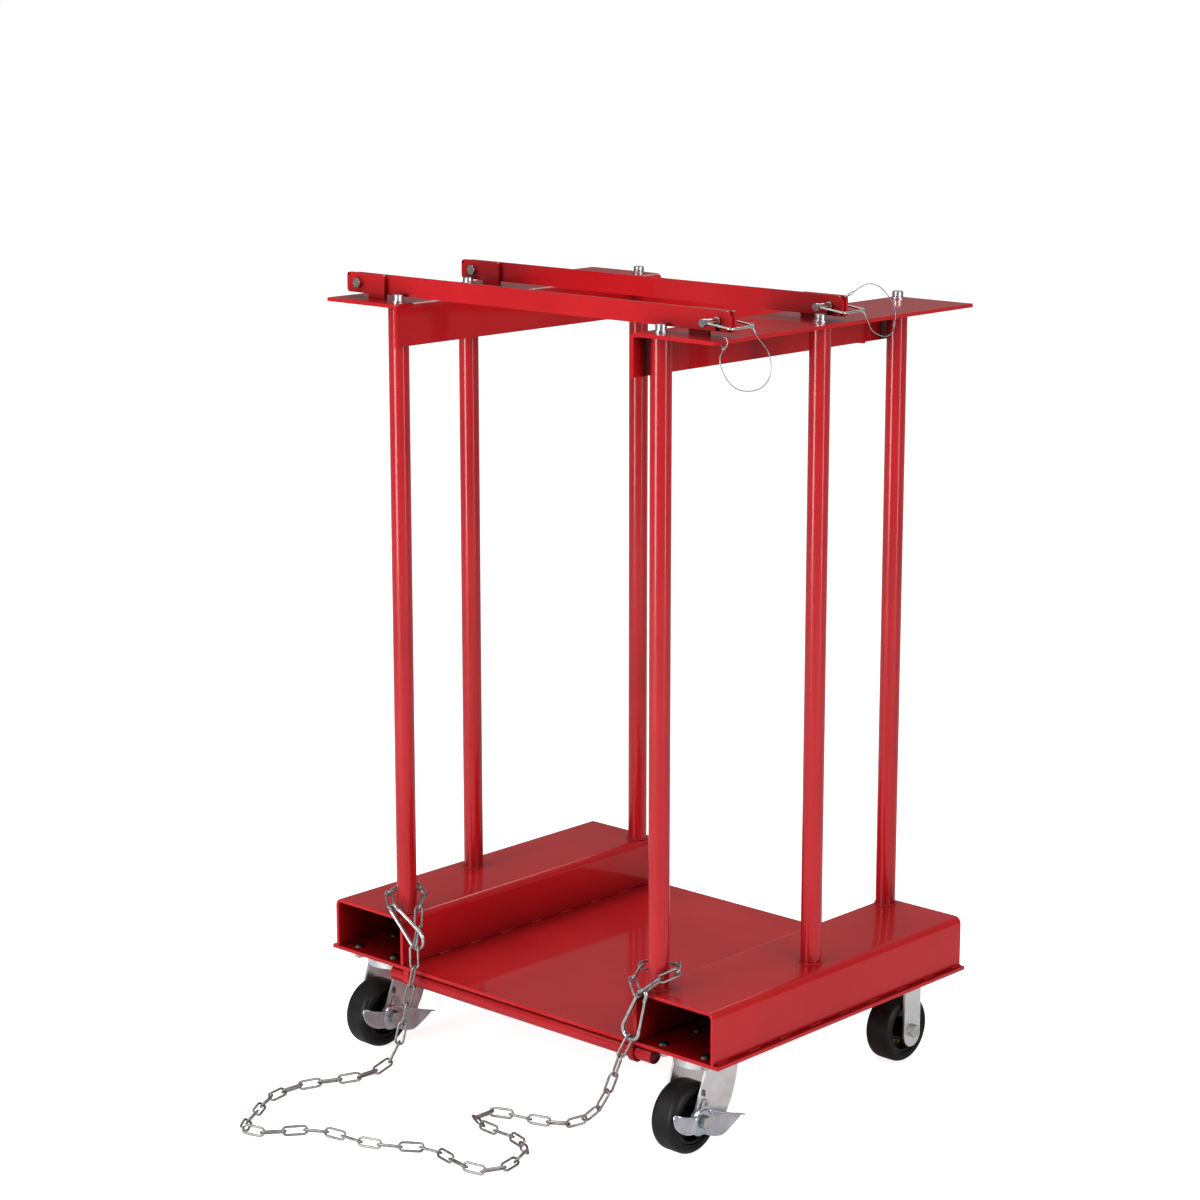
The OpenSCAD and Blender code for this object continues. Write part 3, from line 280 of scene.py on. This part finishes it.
def rings(loops, closed):
    """Quads between loops of points, one after another, with end caps where not closed"""
    count = len(loops[0])
    points = [p for loop in loops for p in loop]
    spans = len(loops) if closed else len(loops) - 1
    faces = []
    for i in range(spans):
        a = i * count
        b = ((i + 1) % len(loops)) * count
        faces += [(a + k, a + (k + 1) % count, b + (k + 1) % count, b + k) for k in range(count)]
    if not closed:
        faces.append(tuple(range(count - 1, -1, -1)))
        faces.append(tuple(range((len(loops) - 1) * count, len(loops) * count)))
    return points, faces


# A direction that no path starts along
ASIDE = (0.31, 0.17, 0.93)


def tube(path, section, closed=False):
    """Loops swept along a path of points; section(i, distance) gives each loop's (across, up) points"""
    path = [np.array(p, float) for p in path]
    count = len(path)
    ahead = []
    for i in range(count):
        before = path[i - 1] if i or closed else path[i]
        after = path[(i + 1) % count] if i < count - 1 or closed else path[i]
        step = after - before
        ahead.append(step / np.linalg.norm(step))
    side = np.cross(ahead[0], ASIDE)
    side /= np.linalg.norm(side)
    loops = []
    run = 0.0
    for i in range(count):
        if i:
            run += np.linalg.norm(path[i] - path[i - 1])
        side = side - ahead[i] * np.dot(side, ahead[i])
        side /= np.linalg.norm(side)
        up = np.cross(ahead[i], side)
        loops.append([path[i] + side * a + up * b for a, b in section(i, run)])
    return rings(loops, closed)


def circle(radius, sides):
    """Points on a circle about the origin"""
    turns = [2 * math.pi * k / sides for k in range(sides)]
    return [(radius * math.cos(a), radius * math.sin(a)) for a in turns]


def smooth(route, steps):
    """Points on a smooth curve through a route"""
    p = [np.array(q, float) for q in route]
    out = []
    for i in range(len(p) - 1):
        a, b, c, d = p[max(i - 1, 0)], p[i], p[i + 1], p[min(i + 2, len(p) - 1)]
        for k in range(steps):
            t = k / steps
            out.append(0.5 * (2 * b + (c - a) * t + (2 * a - 5 * b + 4 * c - d) * t * t
                              + (3 * b - a - 3 * c + d) * t ** 3))
    out.append(p[-1])
    return out


def lathe(profile, place, sides=96):
    """Loops of a closed (radius, across) profile turned about an axle along X"""
    loops = []
    for k in range(sides):
        a = 2 * math.pi * k / sides
        c, w = math.cos(a), math.sin(a)
        loops.append([(place[0] + x, place[1] + r * c, place[2] + r * w) for r, x in profile])
    return rings(loops, True)


def arc(cx, cy, r, start, end, steps):
    """Points on an arc, angles in degrees"""
    turns = [math.radians(start + (end - start) * k / steps) for k in range(steps + 1)]
    return [(cx + r * math.cos(a), cy + r * math.sin(a)) for a in turns]


# Repeats: one shape on a cloud of points, with a turn and a little unevenness
def repeat_group():
    group = bpy.data.node_groups.new("Repeat on points", "GeometryNodeTree")
    face = group.interface
    for label, kind in (("Points", "Geometry"), ("Shape", "Object"), ("Finish", "Material"),
                        ("Unevenness", "Float"), ("Seed", "Int")):
        face.new_socket(label, in_out="INPUT", socket_type="NodeSocket" + kind)
    face.new_socket("Result", in_out="OUTPUT", socket_type="NodeSocketGeometry")
    given = add(group, "NodeGroupInput").outputs
    shape = add(group, "GeometryNodeObjectInfo", {"Object": given["Shape"]}).outputs["Geometry"]
    turn = add(group, "GeometryNodeInputNamedAttribute", {"Name": "turn"}, data_type="FLOAT_VECTOR")
    rotation = add(group, "FunctionNodeEulerToRotation", {"Euler": turn.outputs["Attribute"]})
    least = add(group, "ShaderNodeMath", {0: 1.0, 1: given["Unevenness"]}, operation="SUBTRACT").outputs[0]
    most = add(group, "ShaderNodeMath", {0: 1.0, 1: given["Unevenness"]}, operation="ADD").outputs[0]
    size = add(group, "FunctionNodeRandomValue", data_type="FLOAT")
    sockets = {s.identifier: s for s in size.inputs}
    group.links.new(least, sockets["Min_001"])
    group.links.new(most, sockets["Max_001"])
    group.links.new(given["Seed"], size.inputs["Seed"])
    scale = [s for s in size.outputs if s.identifier == "Value_001"][0]
    copies = add(group, "GeometryNodeInstanceOnPoints", {
        "Points": given["Points"], "Instance": shape,
        "Rotation": rotation.outputs["Rotation"], "Scale": scale})
    plain = add(group, "GeometryNodeRealizeInstances", {"Geometry": copies.outputs["Instances"]})
    painted = add(group, "GeometryNodeSetMaterial", {
        "Geometry": plain.outputs["Geometry"], "Material": given["Finish"]})
    out = add(group, "NodeGroupOutput")
    group.links.new(painted.outputs["Geometry"], out.inputs["Result"])
    return group


REPEAT = repeat_group()


def repeat(name, shape, places, mat, uneven=0.0, seed=1):
    """A plain mesh of one shape at its places: x, y, z in mm and turns about X, Y, Z; uses up the shape"""
    cloud = bpy.data.meshes.new(name + "_points")
    cloud.from_pydata([tuple(c * MM for c in p[:3]) for p in places], [], [])
    turns = cloud.attributes.new("turn", "FLOAT_VECTOR", "POINT")
    for item, p in zip(turns.data, places):
        item.vector = [math.radians(c) for c in p[3:6]]
    holder = bpy.data.objects.new(name + "_holder", cloud)
    bpy.context.scene.collection.objects.link(holder)
    mod = holder.modifiers.new("repeat", "NODES")
    mod.node_group = REPEAT
    given = {"Shape": shape, "Finish": mat, "Unevenness": float(uneven), "Seed": seed}
    for item in REPEAT.interface.items_tree:
        if item.in_out == "INPUT" and item.name in given:
            mod[item.identifier] = given[item.name]
    graph = bpy.context.evaluated_depsgraph_get()
    mesh = bpy.data.meshes.new_from_object(holder.evaluated_get(graph))
    bpy.data.objects.remove(holder)
    bpy.data.objects.remove(shape)
    mesh.name = name
    obj = bpy.data.objects.new(name, mesh)
    bpy.context.scene.collection.objects.link(obj)
    return obj


# Steelwork: each node softened in its own finish
SHEET = ("deck_plate", "fork_pocket_left", "fork_pocket_right", "top_rail_left", "top_rail_right",
         "rear_cross_rail", "pipe_hangers", "front_bar_lugs", "middle_bar_lugs", "front_bar", "middle_bar")
POSTS = ("post_front_left", "post_front_right", "post_middle_left", "post_middle_right",
         "post_rear_left", "post_rear_right")
for node in SHEET:
    soften(node, red_coat, 1.1, 3)
for node in POSTS:
    soften(node, tube_coat, 0.3, 2)
soften("front_pipe", rough_coat, 0.6, 2)
for node in [n for n in frame["nodes"] if n.endswith("caster_plate")]:
    soften(node, satin_zinc, 0.7, 2)
for node in [n for n in frame["nodes"] if n.endswith("caster_fork")]:
    soften(node, satin_zinc, 1.6, 3)
for node in [n for n in frame["nodes"] if n.endswith("_wheel")]:
    soften(node, core_paint, 1.0, 2)

# Every other hard node: bolts, pins, bails, hooks, nuts, bushings and race balls
CORDS = {"chain_links", "post_chain_loop", "front_lanyard", "middle_lanyard"}
DONE = {"front_pipe", *SHEET, *POSTS, *CORDS}
ENDS = ("caster_plate", "caster_fork", "brake_pedal", "_wheel", "_tyre")
for node in [n for n in frame["nodes"] if n not in DONE and not n.endswith(ENDS)]:
    # The caster bolts' heads take the darker zinc: painted shade and painted dark reflection inside the fork
    # pockets
    plate = zinc_with_painted_shade if node == "caster_bolts" else bright_zinc
    soften(node, chrome if "cap_bolt" in node else plate, 0.35, 2)


# Tyres: rounded shoulders, a moulded ring and a bead on each side, in mm
tyre_low, tyre_high = box_mm("front_left_tyre")
TYRE_R = (tyre_high[2] - tyre_low[2]) / 2
TYRE_HALF = (tyre_high[0] - tyre_low[0]) / 2
SHOULDER_R = 12.5


def tyre_profile():
    """(radius, across) points of a tyre's section"""
    half = [(41.3, 22.4), (42.6, 22.9), (43.2, 24.0), (44.4, 24.3), (45.0, 23.4), (45.8, 23.1), (47.0, 24.0)]
    for t in range(20, 91, 7):
        c, w = math.cos(math.radians(t)), math.sin(math.radians(t))
        half.append((TYRE_R - SHOULDER_R + SHOULDER_R * w, TYRE_HALF - SHOULDER_R + SHOULDER_R * c))
    half += [(TYRE_R, 6.0), (TYRE_R, 0.6)]
    return half + [(r, -x) for r, x in reversed(half)]


for place, (x, y) in WHEELS.items():
    points, faces = lathe(tyre_profile(), (x, y, AXLE_Z))
    obj = solid(place + "_tyre_look", points, faces, rubber, 30)
    settle(obj, place + "_wheel", "black_rubber", place + "_tyre")


# Brake pedals: two folded wings on a cupped disc, and a drilled tab. A wing's rows run along it, each with
# its spots out and up from the axle.
PEDAL_OUT = 34.6
PEDAL_TILT = math.radians(-16)
FRONT_WING = [
    (-9, [(1.4, -20), (1.4, -8), (1.4, 5), (1.8, 9.5), (6, 11)]),
    (-30, [(1.6, -22), (1.6, -10), (1.6, 2), (2.8, 6.5), (12, 8.5)]),
    (-50, [(2.4, -18), (2.2, -8), (2.2, 2), (4.0, 7), (16, 9)]),
    (-66, [(4.0, -9), (3.6, -3), (3.6, 4), (5.4, 8.5), (18, 10)]),
    (-77, [(7.0, 4), (6.4, 6), (6.2, 8), (8.0, 10.5), (18.5, 11.5)]),
]
REAR_WING = [
    (9, [(1.4, -20), (1.4, -8), (1.4, 8), (2.0, 17), (5, 18.5)]),
    (30, [(1.6, -23), (1.6, -8), (1.8, 7), (3.4, 15), (12, 17)]),
    (50, [(2.6, -22), (2.4, -8), (2.6, 6), (4.6, 14), (17, 16)]),
    (62, [(4.6, -14), (4.2, -4), (4.2, 6), (6.0, 13.5), (18.5, 15.5)]),
    (82, [(9.0, 10), (9.2, 11), (9.6, 12), (10.5, 14), (19.4, 15)]),
]


def from_axle(place, spots, tilt):
    """(out, along, up) spots turned about the axle by a tilt and set on a caster"""
    x, y = WHEELS[place]
    c, w = math.cos(tilt), math.sin(tilt)
    return [(x + PEDAL_OUT + a, y + b * c - h * w, AXLE_Z + b * w + h * c) for a, b, h in spots]


def fold(name, place, rows, mat, thick):
    """A folded sheet from rows of (along, [(out, up)]), thickened outwards and with broken edges"""
    loops = []
    for along, spots in rows:
        line = smooth([(a, along, h) for a, h in spots], 2)
        loops.append(from_axle(place, line, PEDAL_TILT))
    count = len(loops[0])
    grid = [smooth([loop[k] for loop in loops], 4) for k in range(count)]
    steps = len(grid[0])
    points = [grid[k][i] for i in range(steps) for k in range(count)]
    faces = [(i * count + k, i * count + k + 1, (i + 1) * count + k + 1, (i + 1) * count + k)
             for i in range(steps - 1) for k in range(count - 1)]
    obj = solid(name, points, faces, mat, 40)
    plate = obj.modifiers.new("plate", "SOLIDIFY")
    plate.thickness = thick * MM
    plate.offset = 0
    edge = obj.modifiers.new("broken_edge", "BEVEL")
    edge.width = 0.5 * MM
    edge.segments = 2
    edge.limit_method = "ANGLE"
    edge.angle_limit = math.radians(50)
    return obj


def drilled(name, place, outline, hole, hole_r, faces_out, mat, tilt):
    """A flat plate with a round hole, its outline given as (along, up) from the axle"""
    ring = [(hole[0] + b, hole[1] + h) for b, h in circle(hole_r, 40)]
    edge = []
    for b, h in ring:
        way = np.array([b - hole[0], h - hole[1]]) / hole_r
        reach = []
        for p, q in zip(outline, outline[1:] + outline[:1]):
            side = np.array([q[0] - p[0], q[1] - p[1]])
            gap = np.array([p[0] - hole[0], p[1] - hole[1]])
            cross = way[0] * side[1] - way[1] * side[0]
            if abs(cross) > 1e-9:
                t = (gap[0] * side[1] - gap[1] * side[0]) / cross
                share = (gap[0] * way[1] - gap[1] * way[0]) / cross
                if t > 0 and -1e-6 <= share <= 1 + 1e-6:
                    reach.append(t)
        edge.append((hole[0] + way[0] * min(reach), hole[1] + way[1] * min(reach)))
    low, high = faces_out
    loops = []
    for line, x in ((edge, low), (edge, high), (ring, high), (ring, low)):
        loops.append(from_axle(place, [(x, b, h) for b, h in line], tilt))
    points, faces = rings(loops, True)
    return solid(name, points, faces, mat, 30)


# Brake spring in the fork's slot: where it starts, out, along and up from the axle, and its coil
SPRING_AT = (1.4, 4, 40)
SPRING_R = 1.5
SPRING_WIRE_R = 0.7
SPRING_STEPS = 12
SPRING_TURNS = 5
SPRING_RISE = 0.18

# The pedal's cup as (radius, out), its tab as (along, up) with the tab's hole and faces
CUP = [(6.9, 0.4), (6.9, 3.9), (11, 4.5), (15, 4.7), (19, 4.0), (22, 2.2), (23.4, 0.4)]
TAB = [(-9, 12), (9, 12), (8.5, 26), (7.5, 31), (5, 34), (0, 35), (-5, 34), (-7.5, 31), (-8.5, 26)]
TAB_HOLE = (0, 27)
TAB_HOLE_R = 3.2
TAB_FACES = (0.5, 3.0)
WING_THICK = 2.2
for place in ("front_left", "front_right"):
    brake = place + "_brake"
    x, y = WHEELS[place]
    for label, rows in (("front", FRONT_WING), ("rear", REAR_WING)):
        wing = fold(place + "_pedal_" + label + "_wing", place, rows, pedal_zinc, WING_THICK)
        settle(wing, brake, "bright_zinc", *([place + "_brake_pedal"] if label == "front" else []))
    points, faces = lathe(CUP, (x + PEDAL_OUT, y, AXLE_Z), 48)
    settle(solid(place + "_pedal_cup", points, faces, pedal_zinc, 30), brake, "bright_zinc")
    tab = drilled(place + "_pedal_tab", place, TAB, TAB_HOLE, TAB_HOLE_R, TAB_FACES, pedal_zinc, PEDAL_TILT)
    settle(tab, brake, "bright_zinc")
    coil = [(SPRING_AT[0] + a, SPRING_AT[1] + b, SPRING_AT[2] + SPRING_RISE * k)
            for k, (a, b) in enumerate(circle(SPRING_R, SPRING_STEPS) * SPRING_TURNS)]
    points, faces = tube(from_axle(place, coil, 0), lambda i, run: circle(SPRING_WIRE_R, 8))
    settle(solid(place + "_brake_spring", points, faces, spring_steel, 60), place + "_swivel", "satin_zinc")

# Grease fittings on the wheel webs: a hexagon's girth, a neck and a nipple
NIPPLE = [(0, 6), (3.4, 6), (3.4, 9.5), (2, 10.2), (2, 12), (2.9, 13.2), (2.9, 14.6), (1.8, 16.5), (0, 17)]
NIPPLE_AT = (-0.4, -14, -19)
for place, (x, y) in WHEELS.items():
    spot = (x + NIPPLE_AT[0], y + NIPPLE_AT[1], AXLE_Z + NIPPLE_AT[2])
    points, faces = lathe(NIPPLE, spot, 20)
    settle(solid(place + "_grease_fitting", points, faces, brass, 35), place + "_wheel", "bright_zinc")

# Painted plugs set a little inside the pipe's ends: radius and reach outwards
PLUG = [(0, -3), (10.2, -3), (10.2, -0.4), (9.2, 0.6), (0, 1.0)]
PLUG_IN = 1.8
pipe_end = box_mm("front_pipe")[1][0]
pipe_y, pipe_z = middle_mm("front_pipe")[1:]
for way, side in ((-1, "left"), (1, "right")):
    spot = (way * (pipe_end - PLUG_IN), pipe_y, pipe_z)
    points, faces = lathe([(r, way * out) for r, out in PLUG], spot, 32)
    settle(solid("front_pipe_" + side + "_plug", points, faces, rough_coat, 40), "root", "red_powder_coat")


# Weld beads: stitches along the channels' feet and rings round the posts' feet
BEAD_HALF = (2.6, 1.7, 1.6)


def bead_shape():
    """One drop of weld"""
    bpy.ops.mesh.primitive_uv_sphere_add(segments=14, ring_count=8, radius=1.0)
    shape = bpy.context.object
    shape.data.transform(Matrix.Diagonal([c * MM for c in BEAD_HALF] + [1]))
    shape.data.shade_smooth()
    return shape


STITCHES = np.arange(-306, 300, 75)
STITCH_BEADS = 10
BEAD_STEP = 2.4
STITCH_OUT = 0.8
STITCH_RISE = 0.5
RING_BEADS = 44
RING_OUT = 0.5
RING_RISE = 0.4


def stitch_rows():
    """Beads along both feet of both channels, on the deck"""
    low, high = box_mm("fork_pocket_right")
    inner, outer = low[0] - STITCH_OUT, high[0] + STITCH_OUT
    height = box_mm("deck_plate")[1][2] + STITCH_RISE
    return [(x, start + BEAD_STEP * k, height, 0, 0, 90)
            for x in (-outer, -inner, outer, inner) for start in STITCHES for k in range(STITCH_BEADS)]


def ring_rows(post):
    """Beads round a post's foot"""
    low, high = box_mm(post)
    x, y = middle_mm(post)[:2]
    ring = circle((high[0] - low[0]) / 2 + RING_OUT, RING_BEADS)
    return [(x + a, y + b, low[2] + RING_RISE, 0, 0, 360 * k / RING_BEADS + 90)
            for k, (a, b) in enumerate(ring)]


weld_rows = stitch_rows() + [row for post in POSTS for row in ring_rows(post)]
welds = repeat("weld_beads", bead_shape(), weld_rows, red_coat, 0.14, 4)
settle(welds, "root", "red_powder_coat")


# Chain: welded wire links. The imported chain's links are separate forms, so each one's place and turns are
# read there, in tenths of a mm and of a degree. WELD_UP is the way that the front chain's welds face.
WELD_UP = Vector((0, -0.35, 1))
LINK_WIRE = 4.0
LINK_BEND = 6.5
LINK_HALF = 13.0
LINK_WELD = 0.09
LINK_WELD_REACH = 1.9


def link_shape():
    """One welded link lying along X, a little thicker at its weld"""
    half = [(LINK_HALF + x, y) for x, y in arc(0, 0, LINK_BEND, -90, 90, 12)]
    half += [(LINK_HALF * s, LINK_BEND) for s in (0.5, 0.22, 0.12, 0, -0.12, -0.22, -0.5)]
    path = [(x, y, 0) for x, y in half]
    path += [(-LINK_HALF + x, y, 0) for x, y in arc(0, 0, LINK_BEND, 90, 270, 12)]
    path += [(-LINK_HALF * 0.4, -LINK_BEND, 0), (LINK_HALF * 0.4, -LINK_BEND, 0)]

    def section(i, run):
        x, y, _ = path[i]
        weld = LINK_WELD * math.exp(-(x / LINK_WELD_REACH) ** 2) if y > LINK_BEND * 0.9 else 0
        return circle(LINK_WIRE / 2 * (1 + weld), 14)

    points, faces = tube(path, section, closed=True)
    return solid("link_shape", points, faces, chain_zinc, 60)


def separate_forms(node):
    """The points of each separate form of a node, in mm"""
    form = bmesh.new()
    form.from_mesh(frame["nodes"][node].data)
    bmesh.ops.remove_doubles(form, verts=form.verts, dist=0.00002)
    found = []
    seen = set()
    for first in form.verts:
        if first in seen:
            continue
        seen.add(first)
        reach = [first]
        for spot in reach:
            for other in [edge.other_vert(spot) for edge in spot.link_edges]:
                if other not in seen:
                    seen.add(other)
                    reach.append(other)
        found.append(np.array([spot.co for spot in reach]) / MM)
    form.free()
    return found


def link_order(node, start):
    """The (middle, points) of each link from start on, each the nearest to where the last one points"""
    left = [(points.mean(0), points) for points in separate_forms(node)]
    line = []
    spot = ahead = np.array(start, float)
    while left:
        nearest = min(range(len(left)), key=lambda i: np.linalg.norm(left[i][0] - ahead))
        line.append(left.pop(nearest))
        spot, ahead = line[-1][0], 2 * line[-1][0] - spot
    return line


def link_rows(node, start, weld_sides):
    """Each link's middle and its turns about X, Y and Z; weld_sides are those of even and of odd links"""
    line = link_order(node, start)
    rows = []
    for i, (middle, points) in enumerate(line):
        run = line[min(i + 1, len(line) - 1)][0] - line[max(i - 1, 0)][0]
        _, ways = np.linalg.eigh(np.cov((points - middle).T))
        long_way, wide_way = Vector(ways[:, 2]), Vector(ways[:, 1])
        if long_way.dot(run) < 0:
            long_way.negate()
        if wide_way.dot(WELD_UP) * weld_sides[i % 2] < 0:
            wide_way.negate()
        turns = Matrix((long_way, wide_way, long_way.cross(wide_way))).transposed().to_euler("XYZ")
        rows.append([round(float(c), 1) for c in (*middle, *map(math.degrees, turns))])
    return rows


def chain(name, node, start, weld_sides):
    """A row of links in place of its node"""
    rows = link_rows(node, start, weld_sides)
    obj = repeat(name, link_shape(), rows, chain_zinc)
    settle(obj, "root", "bright_zinc", node)


# Where the first link of each leaves its hook
LEFT_START = (-282, -322, 265)
RIGHT_START = (291, -329, 256)
chain("front_chain", "chain_links", LEFT_START, (1, 1))
chain("post_chain", "post_chain_loop", RIGHT_START, (1, -1))

# Lanyards: six strands laid round one another along a loose loop
FRONT_ROPE = [
    (425, -239.5, 1280.5), (425, -232.5, 1271.5), (424, -221, 1262), (424, -209, 1250), (424, -202, 1237),
    (424, -200, 1222), (424, -205, 1208), (424, -218, 1198), (424, -236, 1194), (424, -256, 1195),
    (424, -274, 1199), (424, -291, 1208), (424, -305, 1222), (423, -314, 1238), (421, -313, 1251),
    (420, -305, 1260),
]
MIDDLE_ROPE = [
    (425, 23.5, 1280.5), (425, 30.5, 1271), (424, 42, 1257), (424, 60, 1248), (424, 78, 1244),
    (424, 92, 1248), (423, 100, 1260), (423, 102, 1276), (422, 97, 1292), (420, 86, 1306),
    (419, 68, 1320), (418, 48, 1327), (417, 32, 1327), (415, 18, 1322.5), (413.5, 9.5, 1318),
]
ROPE_D = 1.6
ROPE_SIDES = 24
STRANDS = 6
STRAND_PITCH = 9.0


def rope(name, route, node):
    """A lanyard in place of its node, one end on its pin"""
    path = smooth(route, 28)

    def section(i, run):
        twist = 2 * math.pi * run / STRAND_PITCH
        out = []
        for k in range(ROPE_SIDES):
            a = 2 * math.pi * k / ROPE_SIDES
            r = ROPE_D / 2 * (0.93 + 0.07 * math.cos(STRANDS * a))
            out.append((r * math.cos(a + twist), r * math.sin(a + twist)))
        return out

    points, faces = tube(path, section)
    obj = solid(name, points, faces, rope_steel, 60)
    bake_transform(obj)
    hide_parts(node)


rope("front_lanyard_rope", FRONT_ROPE, "front_lanyard")
rope("middle_lanyard_rope", MIDDLE_ROPE, "middle_lanyard")

# Stage: white floor and surroundings, soft lights. FLOOR_GLOW whitens the floor that the camera sees.
FLOOR_GLOW = 0.82
bpy.ops.mesh.primitive_plane_add(size=24, location=(0, 0, -0.0005))
floor = bpy.context.object
floor.name = "floor"
floor_mat, floor_tree, floor_shader = finish("White studio floor", Roughness=0.9)
floor_shader.inputs["Base Color"].default_value = linear("#f4f4f4")
floor_seen = add(floor_tree, "ShaderNodeLightPath").outputs["Is Camera Ray"]
wire(floor_tree, floor_shader, "Emission Strength", add(
    floor_tree, "ShaderNodeMath", {0: floor_seen, 1: FLOOR_GLOW}, operation="MULTIPLY").outputs[0])
floor_shader.inputs["Emission Color"].default_value = (1, 1, 1, 1)
floor.data.materials.append(floor_mat)

world = bpy.data.worlds.new("White studio")
bpy.context.scene.world = world
world.use_nodes = True
tree = world.node_tree
tree.nodes.clear()
seen = add(tree, "ShaderNodeLightPath").outputs["Is Camera Ray"]
way = add(tree, "ShaderNodeTexCoord").outputs["Generated"]
height = add(tree, "ShaderNodeSeparateXYZ", {"Vector": way}).outputs["Z"]
shade = add(tree, "ShaderNodeMapRange", {
    "Value": height, "From Min": 0.0, "From Max": 0.9, "To Min": 0.14, "To Max": 0.42}).outputs["Result"]
light = add(tree, "ShaderNodeBackground", {"Color": shade, "Strength": 1.0}).outputs["Background"]
white = add(tree, "ShaderNodeBackground", {"Color": (1, 1, 1, 1), "Strength": 1.0}).outputs["Background"]
both = add(tree, "ShaderNodeMixShader", {0: seen, 1: light, 2: white}).outputs["Shader"]
add(tree, "ShaderNodeOutputWorld", {"Surface": both})


def softbox(name, place, aim, size, power):
    """A soft rectangular lamp turned to its aim"""
    data = bpy.data.lights.new(name, "AREA")
    data.shape = "RECTANGLE"
    data.size, data.size_y = size
    data.energy = power
    lamp = bpy.data.objects.new(name, data)
    lamp.location = place
    lamp.rotation_euler = (Vector(aim) - Vector(place)).to_track_quat("-Z", "Y").to_euler()
    bpy.context.scene.collection.objects.link(lamp)


softbox("front_strip", (-0.5, -4.3, 1.4), (0, 0, 0.75), (1.4, 3.0), 112)
softbox("front_wide", (-2.6, -4.0, 3.4), (0, 0, 0.7), (1.8, 2.0), 24)
softbox("side_strip", (4.3, 0.1, 1.4), (0, 0, 0.7), (0.7, 2.8), 36)
softbox("side_wide", (4.4, -1.4, 2.6), (0, 0, 0.5), (1.4, 1.6), 48)
softbox("back_high", (-1.6, 2.9, 4.5), (0, 0, 0.5), (2.4, 2.0), 50)

# Camera fitted to the photograph's outlines
AZ, EL, ROLL = math.radians(42.61), math.radians(12.31), math.radians(-0.02)
forward = Vector((-math.sin(AZ) * math.cos(EL), math.cos(AZ) * math.cos(EL), -math.sin(EL)))
right = Vector((math.cos(AZ), math.sin(AZ), 0))
up = right.cross(forward)
across = right * math.cos(ROLL) + up * math.sin(ROLL)
above = -right * math.sin(ROLL) + up * math.cos(ROLL)
LENS_MM = 90.743
CAMERA_PLACE = (3.2418, -3.6369, 1.8412)
lens = bpy.data.cameras.new("camera")
lens.sensor_width = 36
lens.lens = LENS_MM
camera = bpy.data.objects.new("camera", lens)
bpy.context.scene.collection.objects.link(camera)
spin = Matrix((across, above, -forward)).transposed().to_4x4()
camera.matrix_world = Matrix.Translation(CAMERA_PLACE) @ spin
bpy.context.scene.camera = camera
bpy.context.scene.view_settings.view_transform = "Standard"
